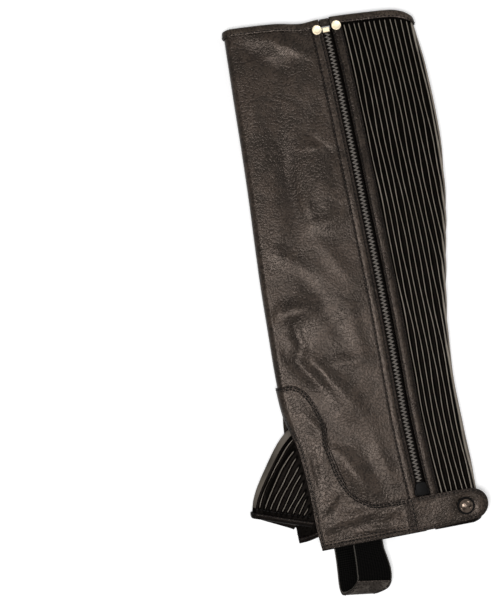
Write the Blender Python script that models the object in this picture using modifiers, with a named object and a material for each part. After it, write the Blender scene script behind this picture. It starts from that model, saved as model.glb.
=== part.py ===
"""Half chap for the left leg: a leather gaiter with a ribbed calf panel, laid flat with its zip side up.

The chap is a tube of two walls joined by a rolled fold at the shin and another at the calf. A column is
a function that gives a spot of that tube at each height of the leg. Every cut piece is a grid of columns
and rows, moved out of the tube by the thickness of what lies beneath it, and given its own wall.

Directions: +X to the calf, +Y to the knee edge, +Z up from the surface that the chap lies on.
Sizes are in millimetres, measured from the lower end of the zip (`u` across, `v` along the leg).
`place` moves them to the part's origin and turns them to metres.
"""

import math
from collections import namedtuple

import bmesh
import bpy
from mathutils import Vector

# ---------------------------------------------------------------- driving sizes
MIDDLE_U, MIDDLE_V = -16.1, 185.3  # middle of the whole outline, which is the part's origin

WALL = 1.4  # chap leather
TRIM = 1.3  # overlays and strips
BINDING = 1.0
ELASTIC = 1.5
GUSSET_WALL = 1.2
TAPE = 1.0
GAP = 0.3  # between pieces that lie on each other
BINDING_GAP = 0.45  # between a binding and the wall that it wraps
HALF = WALL / 2
ON_TOP = HALF + GAP + TRIM / 2  # from the middle of a wall to the middle of an overlay
TRIM_ROOM = GAP + TRIM  # the inner wall lies this far off the surface, on its overlays
COVER = 1.0
PATCH_WALL = 1.1
PATCH_ROOM = PATCH_WALL + ELASTIC + BINDING + 4 * GAP - TRIM_ROOM  # its rise over the end of the stirrup

KNEE_V, HEM_V = 428.0, -10.0  # nominal knee edge and hem
MAIN_ROWS = (HEM_V, 12, 36, 56, 73, 87, 101, 115, 126, 155, 185, 215, 245, 275, 305, 335, 370, 405, KNEE_V)
CALF_ROWS = (HEM_V, -5.5, 8, 20, 60, 101, 150, 200, 250, 300, 350, 395, 413, 422, KNEE_V)
EDGE_REACH = 60.0  # over which the rows bend to the real edges
NOTCH_V = 101.0  # top of the instep slit
NOTCH_OPEN_V = 73.0  # here the slit's edges lie on the two walls
SCALLOP_V = 126.0  # top of the ankle piece
STRIP_WIDTH = 25.0  # ankle piece on the inner side
STRIP_CURVE_V = 97.0  # above this the inner strip rounds off

ZIP_GAP = 3.7  # half the opening between the two leather edges
FACING_FRONT = (-13.0, -4.7)  # across, from the zip's middle
FACING_REAR = (5.0, 13.6)
FACING_TOP_V, FACING_HEM_V = 418.8, -11.5
COIL_HALF_WIDTH, COIL_HEIGHT, COIL_V = 3.0, 2.2, (-6.0, 414.0)

RIB_START, RIB_PITCH = 15.6, 4.35  # first tuck from the zip's middle, and from tuck to tuck
RIB_CREST = 1.3  # height of a tuck over its valley
SEAM_STRIP = (7.5, 28.5)  # rear strip on the inner side, from the calf outline
SEAM_OVERLAP = 7.0  # of the strip on each panel

EDGE_TURN = 1.7  # how far a binding stands past the edge that it binds
BAND_DEPTH = 5.0  # knee binding, from the panel's edge
HEM_BAND_DEPTH = 3.2
MAIN_HEM_V = -9.0  # outer side of the main panel, behind the ankle piece
CALF_HEM_V = -15.3  # outer side of the stretch panel
ANKLE_HEM_V = -15.5
FACING_V = (-16.6, -9.3)  # black facing behind the ankle piece's hem

TAB_OUT = 3.7  # middle of the tab over the middle of the wall
TAB_START_U, TAB_ROUND_U, TAB_RADIUS, TAB_MIDDLE_V = 8.0, 60.4, 12.8, -0.6
TAB_TOP = ((8, 13.5), (45, 13.2), (60.4, 12.2))
TAB_BOTTOM = ((8, -15.5), (30, -15.2), (60.4, -13.4))
TAB_DROOP = 1.6

SNAP_U, SNAP_V, SNAP_RADIUS = 54.0, -1.2, 7.6
RIVETS = {"front": (7.2, 417.5), "rear": (24.0, 418.5)}
RIVET_RADIUS = 4.2

GUSSET_TUCK = 3.5
GUSSET_APEX_V = 92.0
GUSSET_FOOT_V = 4.0
GUSSET_CORNER = (-124.4, 22.6)  # foot of its fold
GUSSET_BOW = 7.0
GUSSET_RIB_PITCH, GUSSET_RIB = 4.3, 0.9

Station = namedtuple("Station", "v front rear zip crown")
# outline at the shin, outline at the calf, middle of the zip, height of the upper wall's middle
STATIONS = (
    Station(-20, -72.6, 66.2, 21.6, 14.0),
    Station(0, -74.0, 67.0, 20.9, 14.0),
    Station(30, -74.0, 67.6, 19.4, 13.8),
    Station(60, -75.6, 67.0, 18.4, 13.2),
    Station(84, -78.4, 66.6, 18.0, 12.8),
    Station(101, -82.0, 66.7, 18.1, 12.6),
    Station(118, -83.3, 67.4, 18.4, 12.5),
    Station(140, -83.4, 69.0, 18.7, 12.5),
    Station(170, -82.5, 73.0, 18.9, 12.6),
    Station(210, -81.3, 80.2, 18.8, 12.8),
    Station(250, -79.2, 88.0, 18.3, 13.0),
    Station(290, -76.8, 93.0, 17.9, 13.1),
    Station(330, -75.0, 95.0, 17.4, 13.1),
    Station(370, -73.6, 94.0, 16.7, 12.9),
    Station(400, -72.4, 91.0, 15.8, 12.6),
    Station(420, -71.6, 89.4, 14.8, 12.4),
    Station(436, -70.6, 88.2, 14.0, 12.3),
)

Row = namedtuple("Row", "at value")
# shin edge of the inner wall, below the slit's top: v, u
INNER_FRONT = (Row(-20, -90.6), Row(9, -90.8), Row(50, -88.2), Row(75, -85.6), Row(101, -82.0))
# edges of the two walls: u, v
KNEE_OUTER = (Row(-90, 433), Row(-70, 433), Row(-28, 430), Row(-6, 426), Row(8, 426.6), Row(22, 427),
              Row(53, 425), Row(72, 423), Row(82, 419.5), Row(92, 413))
KNEE_INNER = (Row(-90, 432), Row(-70, 431), Row(-35, 423), Row(15, 417), Row(50, 416), Row(80, 415),
              Row(92, 412))
HEM_INNER = (Row(-95, -7), Row(-80, -6), Row(-55, 0), Row(-20, 1), Row(20, -2), Row(50, -8.5),
             Row(70, -12.5))
# top of the ankle piece over the outer side: u, v
SCALLOP = (Row(-72, 126.4), Row(-63, 121), Row(-56, 110), Row(-51, 95.5), Row(-50, 80), Row(-49, 62),
           Row(-45, 42), Row(-37, 26), Row(-26, 17), Row(-20, 14.6), Row(-8, 13.6), Row(7.7, 13.5))

Dent = namedtuple("Dent", "u v length width turn rise")
# broad soft hollows and swells of the outer side; `turn` is the angle of its length from across
DENTS = (
    Dent(-42, 352, 95, 20, 74, -0.9),
    Dent(-12, 300, 120, 17, 86, 0.8),
    Dent(-58, 255, 70, 15, 62, 0.7),
    Dent(-36, 196, 90, 16, 112, -0.9),
    Dent(-8, 150, 70, 15, 96, 0.7),
    Dent(-60, 150, 34, 11, 48, -0.8),
    Dent(-36, 404, 60, 14, 12, 0.6),
)

StrapRow = namedtuple("StrapRow", "left_u left_v right_u right_v height")
# the stirrup from the outer wall's lining side, round its turn, to the patch on the inner side
STRAP = (
    StrapRow(-45.6, 13, -20.2, 13, 12.1),
    StrapRow(-45.6, 0, -20.2, 0, 12.1),
    StrapRow(-45.6, -13, -20.2, -13, 12.0),
    StrapRow(-45.8, -23, -20.2, -24, 11.7),
    StrapRow(-46.2, -32, -18.6, -34, 10.9),
    StrapRow(-46.8, -40, -17.8, -43, 10.0),
    StrapRow(-47.8, -47.5, -19.0, -52, 9.0),
    StrapRow(-53.5, -53.6, -23.5, -58.2, 7.6),
    StrapRow(-61.4, -56.4, -33.6, -60.2, 5.5),
    StrapRow(-63.6, -54.0, -38.0, -57.2, 3.1),
    StrapRow(-63.6, -47, -38.0, -49, 2.3),
    StrapRow(-62.8, -38, -37.4, -39, 2.2),
    StrapRow(-62.0, -25, -36.6, -25, 2.2),
    StrapRow(-62.0, -10, -36.6, -10, 2.15),
    StrapRow(-62.6, 4, -37.2, 4, 2.15),
    StrapRow(-62.8, 25, -37.4, 25, 2.15),
)
COVER_ROWS = (6.0, 12.0)  # rows of the strap between which its leather cover lies
PATCH = (-63.2, -38.0, 2.4, 28.2)  # left, right, lower and upper side


# ---------------------------------------------------------------- small helpers
def place(u, v, z):
    """Metres from the part's origin."""
    return Vector((u - MIDDLE_U, v - MIDDLE_V, z)) * 0.001


def mix(a, b, t):
    return a + (b - a) * t


def ramp(x, start, end):
    """0 before start, 1 after end, smooth between; start may be the larger."""
    t = min(1.0, max(0.0, (x - start) / (end - start)))
    return t * t * (3 - 2 * t)


def smooth(rows, x):
    """Value at x of a smooth curve through (at, value) rows, level past the ends."""
    if x <= rows[0][0]:
        return rows[0][1]
    for k in range(len(rows) - 1):
        (x0, y0), (x1, y1) = rows[k], rows[k + 1]
        if x <= x1:
            before = rows[max(k - 1, 0)]
            after = rows[min(k + 2, len(rows) - 1)]
            span = x1 - x0
            slope0 = (y1 - before[1]) / (x1 - before[0])
            slope1 = (after[1] - y0) / (after[0] - x0)
            t = (x - x0) / span
            return (
                (2 * t**3 - 3 * t**2 + 1) * y0
                + (t**3 - 2 * t**2 + t) * span * slope0
                + (3 * t**2 - 2 * t**3) * y1
                + (t**3 - t**2) * span * slope1
            )
    return rows[-1][1]


COLUMNS = {
    name: tuple((station.v, getattr(station, name)) for station in STATIONS)
    for name in ("front", "rear", "zip", "crown")
}


def station(name, v):
    return smooth(COLUMNS[name], v)


def inside(x, low, high, fade):
    """1 between low and high, falling to 0 over `fade` outside them."""
    return ramp(x, low - fade, low) * ramp(x, high + fade, high)


# ---------------------------------------------------------------- the two walls
def relief(u, v):
    total = 0.0
    for dent in DENTS:
        turn = math.radians(dent.turn)
        du, dv = u - dent.u, v - dent.v
        along_dent = (du * math.cos(turn) + dv * math.sin(turn)) / (dent.length / 2)
        across_dent = (dv * math.cos(turn) - du * math.sin(turn)) / (dent.width / 2)
        total += dent.rise * math.exp(-(along_dent**2) - across_dent**2)
    quiet = ramp(u, station("front", v) + 8, station("front", v) + 24) * ramp(u, 4, -8)
    return total * quiet * ramp(v, SCALLOP_V, SCALLOP_V + 20) * ramp(v, 426, 408)


def upper_height(u, v):
    return station("crown", v) + relief(u, v)


def lower_height(u, v):
    left, right, _, upper_side = PATCH
    over_patch = inside(u, left - 1, right + 3, 8) * ramp(v, upper_side + 9, upper_side + 0.5)
    return HALF + TRIM_ROOM + PATCH_ROOM * over_patch


def inner_front(v):
    return station("front", v) if v >= NOTCH_V else smooth(INNER_FRONT, v)


def slit(v):
    """Angle left of each half of the shin fold: a quarter turn above the slit, none where it is open."""
    if v >= NOTCH_V:
        return math.pi / 2
    return math.pi / 2 * max(0.0, (v - NOTCH_OPEN_V) / (NOTCH_V - NOTCH_OPEN_V)) ** 0.8


Fold = namedtuple("Fold", "u radius middle")  # where it starts, its radius and the height of its middle


def shin_fold(v, inner=False):
    """The shin fold of the outer or of the inner half, which part at the slit."""
    edge = (inner_front(v) if inner else station("front", v)) + HALF
    top, bottom = station("crown", v), lower_height(edge, v)
    radius = (top - bottom) / 2
    return Fold(edge + radius * math.sin(slit(v)), radius, (top + bottom) / 2)


def calf_fold(v):
    edge = station("rear", v) - HALF - RIB_CREST
    top, bottom = station("crown", v), lower_height(edge, v)
    radius = (top - bottom) / 2
    return Fold(edge - radius, radius, (top + bottom) / 2)


# ---------------------------------------------------------------- spots and columns of the tube
# a spot's outward direction is (tilt_u, tilt_z); `under` is 0 on the outer side and 1 on the inner side
Spot = namedtuple("Spot", "u z tilt_u tilt_z under")


def outer_spot(u, v):
    return Spot(u, upper_height(u, v), 0.0, 1.0, 0.0)


def inner_spot(u, v):
    return Spot(u, lower_height(u, v), 0.0, -1.0, 1.0)


def fold_spot(fold, angle, side):
    """Spot at an angle from the top of a fold; side is -1 at the shin and 1 at the calf."""
    tilt_u, tilt_z = side * math.sin(angle), math.cos(angle)
    return Spot(
        fold.u + fold.radius * tilt_u, fold.middle + fold.radius * tilt_z, tilt_u, tilt_z, angle / math.pi
    )


def off(spot, v, out=0.0):
    """Point at a distance out of the tube."""
    return spot.u + spot.tilt_u * out, v, spot.z + spot.tilt_z * out


def shin_spot(distance, v, inner=False):
    """Spot at a distance from the shin line, over its fold and along the wall."""
    fold, left = shin_fold(v, inner), slit(v)
    bend = fold.radius * left
    if distance < bend:
        angle = left - distance / fold.radius
        return fold_spot(fold, math.pi - angle if inner else angle, -1)
    return (inner_spot if inner else outer_spot)(fold.u + distance - bend, v)


def calf_spot(q, v):
    """Spot at a distance from the zip's middle, over the calf fold and back along the inner side."""
    fold = calf_fold(v)
    start = fold.u - station("zip", v)
    if q < start:
        return outer_spot(station("zip", v) + q, v)
    if q < start + math.pi * fold.radius:
        return fold_spot(fold, (q - start) / fold.radius, 1)
    return inner_spot(fold.u - (q - start - math.pi * fold.radius), v)


def main_rear(v):
    """The main panel's edge on the inner side, a lap over the rear strip."""
    return station("rear", v) - SEAM_STRIP[1] + SEAM_OVERLAP


def calf_edge_q(v):
    """The stretch panel's edge there, as a distance from the zip's middle."""
    fold = calf_fold(v)
    across = fold.u - (station("rear", v) - SEAM_STRIP[0] - SEAM_OVERLAP)
    return fold.u - station("zip", v) + math.pi * fold.radius + across


SHIN_STEPS, CALF_STEPS = 3, 12  # of a quarter turn at the shin, and of the half turn at the calf
OUTER_STEPS = 9  # from the shin fold to the zip
INNER_ACROSS = (8.5, 17, 25, 39, 54, 63)  # columns by the stirrup's patch, from the shin fold
INNER_STEPS = 3  # on from there


def shin_columns(inner=False):
    """From the shin line to the wall."""

    def column(share):
        def spot(v):
            angle = slit(v) * (1 - share)
            return fold_spot(shin_fold(v, inner), math.pi - angle if inner else angle, -1)

        return spot

    return [column(k / SHIN_STEPS) for k in range(SHIN_STEPS + 1)]


def outer_columns(inset=ZIP_GAP):
    """On from there to a distance short of the zip's middle."""

    def column(share):
        return lambda v: outer_spot(mix(shin_fold(v).u, station("zip", v) - inset, share), v)

    return [column((k + 1) / OUTER_STEPS) for k in range(OUTER_STEPS)]


def inner_columns():
    """From the shin fold to the main panel's rear edge."""

    def at(across):
        return lambda v: inner_spot(shin_fold(v, inner=True).u + across, v)

    def on(share):
        last = INNER_ACROSS[-1]
        return lambda v: inner_spot(mix(shin_fold(v, inner=True).u + last, main_rear(v), share), v)

    return [at(across) for across in INNER_ACROSS] + [on((k + 1) / INNER_STEPS) for k in range(INNER_STEPS)]


def calf_columns(inset, steps):
    """From the main panel's rear edge under the calf and over its fold to a distance from the zip."""

    def under(share):
        return lambda v: inner_spot(mix(main_rear(v), calf_fold(v).u, share), v)

    def turn(share):
        return lambda v: fold_spot(calf_fold(v), math.pi * (1 - share), 1)

    def over(share):
        return lambda v: outer_spot(mix(calf_fold(v).u, station("zip", v) + inset, share), v)

    round_calf = [turn(k / CALF_STEPS) for k in range(CALF_STEPS + 1)]
    return [under(0.5)] + round_calf + [over((k + 1) / steps) for k in range(steps)]


# ---------------------------------------------------------------- edges of the panels
def hem_edge(outer_hem, spot):
    return mix(outer_hem, smooth(HEM_INNER, spot.u), spot.under)


def knee_edge(spot):
    """The panels' upper edge, inside the binding's turn."""
    return mix(smooth(KNEE_OUTER, spot.u), smooth(KNEE_INNER, spot.u), spot.under) - EDGE_TURN


def bent(row, hem, knee):
    """Row of a plain tube, bent to the real edges where it is near them."""
    near_hem = 1 - ramp(row, HEM_V, HEM_V + EDGE_REACH)
    near_knee = ramp(row, KNEE_V - EDGE_REACH, KNEE_V)
    return row + near_hem * (hem - HEM_V) + near_knee * (knee - KNEE_V)


# ---------------------------------------------------------------- making objects
def srgb(text):
    """Linear colour of a hex colour."""
    parts = [int(text[k : k + 2], 16) / 255 for k in (1, 3, 5)]
    return (*[c / 12.92 if c <= 0.04045 else ((c + 0.055) / 1.055) ** 2.4 for c in parts], 1.0)


def make_material(name, colour, roughness, metallic=0.0):
    material = bpy.data.materials.new(name)
    material.use_nodes = True
    shader = material.node_tree.nodes["Principled BSDF"]
    shader.inputs["Base Color"].default_value = srgb(colour)
    shader.inputs["Roughness"].default_value = roughness
    shader.inputs["Metallic"].default_value = metallic
    return material


def start_scene():
    for obj in list(bpy.data.objects):
        bpy.data.objects.remove(obj, do_unlink=True)
    parts = bpy.data.collections.new("half_chap")
    bpy.context.scene.collection.children.link(parts)
    return parts


PARTS = start_scene()
LEATHER = make_material("black_leather", "#48403A", 0.5)
OVERLAY = make_material("ankle_leather", "#4D4640", 0.5)
EDGE = make_material("binding_leather", "#332D29", 0.55)
RIBBED = make_material("tucked_leather", "#3A3531", 0.5)
BLACK_WEB = make_material("black_elastic", "#0B0B0A", 0.85)
COVER_HIDE = make_material("sole_leather", "#615C57", 0.5)
ZIP_BLACK = make_material("zip_polyester", "#26221F", 0.6)
ENAMEL = make_material("black_enamel", "#0D0C0B", 0.3, 0.4)
NICKEL = make_material("pale_brass", "#E0D4BC", 0.35, 1.0)
GUNMETAL = make_material("gunmetal", "#3B3631", 0.2, 1.0)


def add_object(name, mesh, material):
    mesh.materials.append(material)
    obj = bpy.data.objects.new(name, mesh)
    PARTS.objects.link(obj)
    return obj


def add_wall(name, patches, thickness, material):
    """A cut piece of patches: (columns, rows, point of a column and a row). Shared edges are joined."""
    shape = bmesh.new()
    for columns, rows, point in patches:
        across, up = len(columns) - 1, len(rows) - 1
        made = bmesh.ops.create_grid(shape, x_segments=across, y_segments=up, size=0.5)
        for vertex in made["verts"]:
            column = columns[round((vertex.co.x + 0.5) * across)]
            row = rows[round((vertex.co.y + 0.5) * up)]
            vertex.co = place(*point(column, row))
    bmesh.ops.remove_doubles(shape, verts=shape.verts, dist=2e-6)
    bmesh.ops.recalc_face_normals(shape, faces=shape.faces)
    mesh = bpy.data.meshes.new(name)
    shape.to_mesh(mesh)
    shape.free()
    mesh.shade_smooth()
    obj = add_object(name, mesh, material)
    wall = obj.modifiers.new("wall", "SOLIDIFY")
    wall.thickness = thickness * 0.001
    wall.offset = 0.0
    wall.use_rim = True
    return obj


def shares(steps):
    return [k / steps for k in range(steps + 1)]


def add_turned(name, profile, centre, material):
    """A round piece standing on `centre`: profile rows are (radius, height), from its top down."""
    mesh = bpy.data.meshes.new(name)
    points = [Vector((radius, 0.0, height)) * 0.001 for radius, height in profile]
    mesh.from_pydata(points, [(k, k + 1) for k in range(len(points) - 1)], [])
    obj = add_object(name, mesh, material)
    obj.location = place(*centre)
    screw = obj.modifiers.new("turn", "SCREW")
    screw.steps = screw.render_steps = 20
    screw.use_merge_vertices = True
    screw.merge_threshold = 1e-5
    screw.use_smooth_shade = True
    return obj


def add_block(name, size, centre, material, bevel, turn=0.0):
    bpy.ops.mesh.primitive_cube_add(size=1.0)
    obj = bpy.context.object
    for collection in obj.users_collection:
        collection.objects.unlink(obj)
    PARTS.objects.link(obj)
    obj.name = name
    obj.data.name = name
    for vertex in obj.data.vertices:
        vertex.co = Vector(a * b for a, b in zip(vertex.co, size)) * 0.001
    obj.location = place(*centre)
    obj.rotation_euler.z = turn
    obj.data.materials.append(material)
    edges = obj.modifiers.new("edges", "BEVEL")
    edges.width = bevel * 0.001
    edges.segments = 1
    return obj


# ---------------------------------------------------------------- leather panels
def main_panel():
    def point(column, row):
        spot = column(row)
        v = bent(row, hem_edge(MAIN_HEM_V, spot), knee_edge(spot))
        return off(column(v), v)

    outer_half = (shin_columns() + outer_columns(), MAIN_ROWS, point)
    inner_half = (shin_columns(inner=True) + inner_columns(), MAIN_ROWS, point)
    add_wall("main_panel", [outer_half, inner_half], WALL, LEATHER)


def scallop_rail():
    """Two tables of the share of the scallop's length: to the distance past the shin fold, and to v."""
    points = [(0.0, SCALLOP_V)] + [(u - shin_fold(v).u, v) for u, v in SCALLOP]
    lengths = [0.0]
    for before, after in zip(points, points[1:]):
        lengths.append(lengths[-1] + math.dist(before, after))
    lengths = [length / lengths[-1] for length in lengths]
    return [[(length, point[axis]) for length, point in zip(lengths, points)] for axis in (0, 1)]


def ankle_piece():
    rows = [ANKLE_HEM_V] + [row for row in MAIN_ROWS if HEM_V < row < SCALLOP_V] + [SCALLOP_V]
    past_fold, up = scallop_rail()
    hem_length = TAB_START_U - GAP - shin_fold(ANKLE_HEM_V).u

    def outer_fold(column, row):
        return off(column(row), row, ON_TOP)

    def outer_wall(share, row):
        level = (row - ANKLE_HEM_V) / (SCALLOP_V - ANKLE_HEM_V)
        v = mix(ANKLE_HEM_V, smooth(up, share), level)
        u = shin_fold(v).u + mix(share * hem_length, smooth(past_fold, share), level)
        climb = (TAB_OUT - ON_TOP) * ramp(u, -8, 3)
        return off(outer_spot(u, v), v, ON_TOP + climb)

    def inner_row(u, row):
        return smooth(HEM_INNER, u) + HEM_BAND_DEPTH + 2 * GAP if row == ANKLE_HEM_V else row

    def inner_fold(column, row):
        v = inner_row(column(row).u, row)
        return off(column(v), v, ON_TOP)

    def inner_wall(share, row):
        rise = max(0.0, row - STRIP_CURVE_V) / (SCALLOP_V - STRIP_CURVE_V)
        v = inner_row(inner_front(0) + share * STRIP_WIDTH, row)
        start, far = shin_fold(v, inner=True).u, inner_front(v) + HALF + STRIP_WIDTH
        far = mix(start, far, math.sqrt(max(0.0, 1 - rise**2)))
        return mix(start, far, share), v, TRIM / 2

    patches = [
        (shin_columns(), rows, outer_fold),
        (shares(9), rows, outer_wall),
        (shin_columns(inner=True), rows, inner_fold),
        (shares(3), rows, inner_wall),
    ]
    add_wall("ankle_piece", patches, TRIM, OVERLAY)


def tab_outline(s):
    """(u, upper edge, lower edge) at share s of the tab's length, round at its end."""
    straight = 0.6
    if s < straight:
        u = mix(TAB_START_U, TAB_ROUND_U, s / straight)
        return u, smooth(TAB_TOP, u), smooth(TAB_BOTTOM, u)
    angle = math.pi / 2 * (s - straight) / (1 - straight)
    half = TAB_RADIUS * math.cos(angle)
    return TAB_ROUND_U + TAB_RADIUS * math.sin(angle), TAB_MIDDLE_V + half, TAB_MIDDLE_V - half


def tab_height(u, v):
    return upper_height(u, v) + TAB_OUT - TAB_DROOP * max(0.0, (u - TAB_ROUND_U) / TAB_RADIUS) ** 2


def snap_tab():
    def point(s, t):
        u, top, bottom = tab_outline(s)
        v = mix(bottom, top, t)
        return u, v, tab_height(u, v)

    add_wall("snap_tab", [(shares(15), shares(4), point)], TRIM, OVERLAY)


def hem_facing_front():
    def point(column, v):
        return off(column(v), v, -0.2)

    columns = shin_columns()[-1:] + outer_columns()
    add_wall("hem_facing_front", [(columns, FACING_V, point)], BINDING, BLACK_WEB)


# ---------------------------------------------------------------- zip
def zip_strip(name, across, out, ends, thickness, material):
    rows = [ends[0], *[row for row in CALF_ROWS if ends[0] + 8 < row < ends[1] - 8], ends[1]]

    def point(q, v):
        return off(outer_spot(station("zip", v) + q, v), v, out)

    add_wall(name, [(across, rows, point)], thickness, material)


def zip_pieces():
    tape_out = -(HALF + GAP + TAPE / 2)
    coil_out = tape_out + TAPE / 2 + GAP + COIL_HEIGHT / 2
    facing_ends = (FACING_HEM_V, FACING_TOP_V)
    split = GAP / 2
    zip_strip("zip_facing_front", FACING_FRONT, ON_TOP, facing_ends, TRIM, OVERLAY)
    zip_strip("zip_facing_rear", FACING_REAR, ON_TOP, facing_ends, TRIM, OVERLAY)
    zip_strip("zip_tape_front", (-11, -split), tape_out, (-8.5, 417), TAPE, ZIP_BLACK)
    zip_strip("zip_tape_rear", (split, 11), tape_out, (-8.5, 417), TAPE, ZIP_BLACK)
    zip_strip("zip_coil_front", (-COIL_HALF_WIDTH, -split), coil_out, COIL_V, COIL_HEIGHT, ZIP_BLACK)
    zip_strip("zip_coil_rear", (split, COIL_HALF_WIDTH), coil_out, COIL_V, COIL_HEIGHT, ZIP_BLACK)
    coil_top = coil_out + COIL_HEIGHT / 2

    slider_v, slider_size = 19.8, (9.2, 11.2, 2.6)
    lean = math.radians(4)
    slider_u = station("zip", slider_v)
    slider_z = upper_height(slider_u, slider_v) + coil_top + GAP + slider_size[2] / 2
    add_block("zip_slider", slider_size, (slider_u, slider_v, slider_z), ENAMEL, 0.9, lean)

    pull_v, pull_size = 4.0, (6.0, 18.0, 0.8)
    pull_u = station("zip", pull_v)
    pull_z = upper_height(pull_u, pull_v) + coil_top + GAP + pull_size[2] / 2
    add_block("zip_pull", pull_size, (pull_u, pull_v, pull_z), ENAMEL, 0.3, lean)

    box_v, box_size = 416.6, (6.2, 4.2, 2.4)
    box_u = station("zip", box_v)
    add_block("zip_box", box_size, (box_u, box_v, upper_height(box_u, box_v) + coil_out), NICKEL, 0.4)

    cap_v, cap_size = 422.6, (8.0, 6.6)

    def cap(s, t):
        u, v = station("zip", cap_v) + s * cap_size[0], cap_v + t * cap_size[1]
        return off(outer_spot(u, v), v, ON_TOP)

    add_wall("zip_top_cap", [((-0.5, 0.5), (-0.5, 0.5), cap)], TRIM, OVERLAY)


# ---------------------------------------------------------------- calf
Tuck = namedtuple("Tuck", "q crest")  # a column of the stretch panel, and its height over the wall


def tuck_columns():
    """A plain edge by the zip, then crests and valleys in turn to past the panel's widest row."""
    plain = [Tuck(q, 0.0) for q in (ZIP_GAP, (ZIP_GAP + RIB_START) / 2, RIB_START - 1.8)]
    widest = max(calf_edge_q(row) for row in CALF_ROWS)
    count = math.ceil((widest - RIB_START) / (RIB_PITCH / 2)) + 1
    return plain + [Tuck(RIB_START + k * RIB_PITCH / 2, RIB_CREST * (1 - k % 2)) for k in range(count)]


def stretch_panel():
    def point(tuck, row):
        spot = calf_spot(min(tuck.q, calf_edge_q(row)), row)
        hem, knee = hem_edge(CALF_HEM_V, spot), knee_edge(spot)
        v = bent(row, hem, knee)
        edge = calf_edge_q(v)
        spot = calf_spot(min(tuck.q, edge), v)
        crest = tuck.crest * ramp(edge - tuck.q, SEAM_OVERLAP + 0.5, SEAM_OVERLAP + 4)
        crest *= ramp(v, knee - BAND_DEPTH - 0.6, knee - BAND_DEPTH - 8)
        crest *= ramp(v, hem + HEM_BAND_DEPTH + 1.2, hem + HEM_BAND_DEPTH + 9)
        if spot.under == 0.0:
            crest *= ramp(math.dist((spot.u, v), (SNAP_U, SNAP_V)), 7, 12)
        return off(spot, v, crest)

    add_wall("stretch_panel", [(tuck_columns(), CALF_ROWS, point)], WALL, RIBBED)


def rear_seam_strip():
    def point(inset, row):
        spot = inner_spot(station("rear", row) - inset, row)
        hem = smooth(HEM_INNER, spot.u) + HEM_BAND_DEPTH + 2 * GAP
        v = bent(row, hem, knee_edge(spot) - BAND_DEPTH - 2 * GAP)
        return off(inner_spot(station("rear", v) - inset, v), v, ON_TOP)

    insets = [mix(*SEAM_STRIP, share) for share in shares(2)]
    add_wall("rear_seam_strip", [(insets, CALF_ROWS, point)], TRIM, OVERLAY)


# ---------------------------------------------------------------- bindings
Side = namedtuple("Side", "inward out")  # a binding's section: from the edge, and from the wall's middle


def binding_section(depth, half_wall):
    """From the outside round the edge to the inside."""
    out = half_wall + BINDING_GAP + BINDING / 2
    outside = [Side(depth, out), Side(-0.1, out), Side(BINDING / 2 - EDGE_TURN, out * 0.52)]
    return outside + [Side(side.inward, -side.out) for side in reversed(outside)]


def top_binding():
    clear_of_zip = 4.6

    def point(column, side):
        v = KNEE_V
        for _ in range(3):
            v = knee_edge(column(v)) - side.inward
        return off(column(v), v, side.out)

    front = outer_columns(clear_of_zip)[::-1] + shin_columns()[::-1]
    rear = shin_columns(inner=True)[1:] + inner_columns() + calf_columns(clear_of_zip, 7)
    add_wall("top_binding", [(front + rear, binding_section(BAND_DEPTH, HALF), point)], BINDING, EDGE)


def hem_binding_rear():
    def point(column, side):
        v = HEM_V
        for _ in range(3):
            v = hem_edge(CALF_HEM_V, column(v)) + side.inward
        return off(column(v), v, side.out)

    columns = shin_columns(inner=True)[-1:] + inner_columns() + calf_columns(ZIP_GAP, 4)
    add_wall("hem_binding_rear", [(columns, binding_section(HEM_BAND_DEPTH, HALF), point)], BINDING, EDGE)


# ---------------------------------------------------------------- instep gusset
GUSSET_FOOT_TOP, GUSSET_FOOT_LOW = 8.2, 2.0  # heights of the two walls at the foot of its fold
GUSSET_REACH = 0.96  # share of the way from the fold to the seam's foot that it is cut to
GUSSET_BOUND = 0.92  # share of its columns that are bound
GUSSET_ROWS = (0.0, 0.16, 0.45, 0.72, 0.9, 1.0)


def gusset_seam(v, side):
    """Point of the seam under the slit's edge; side is 1 on the outer wall and -1 on the inner one."""
    inset = HALF + GAP + GUSSET_WALL / 2 + 0.2 + 2.4 * ramp(v, 78, GUSSET_APEX_V)
    return off(shin_spot(GUSSET_TUCK, v, inner=side < 0), v, -inset)


GUSSET_APEX = {side: gusset_seam(GUSSET_APEX_V, side) for side in (1, -1)}
GUSSET_FOOT = {side: gusset_seam(GUSSET_FOOT_V, side) for side in (1, -1)}


def gusset_width(side):
    """Distance from the chord of the fold to the seam's foot."""
    apex, foot = GUSSET_APEX[1], GUSSET_FOOT[side]
    du, dv = GUSSET_CORNER[0] - apex[0], GUSSET_CORNER[1] - apex[1]
    return abs((foot[0] - apex[0]) * dv - (foot[1] - apex[1]) * du) / math.hypot(du, dv)


def gusset_fold(t):
    """Radius and height of its fold's middle at t."""
    top = mix(GUSSET_APEX[1][2], GUSSET_FOOT_TOP, t)
    low = mix(GUSSET_APEX[-1][2], GUSSET_FOOT_LOW, t)
    return (top - low) / 2, (top + low) / 2


def gusset_across(share, t, side):
    """Distance from the fold, over its roll, of a share of the width."""
    radius = gusset_fold(t)[0]
    return share * gusset_width(side) + radius * (math.pi / 2 - 1)


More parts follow.
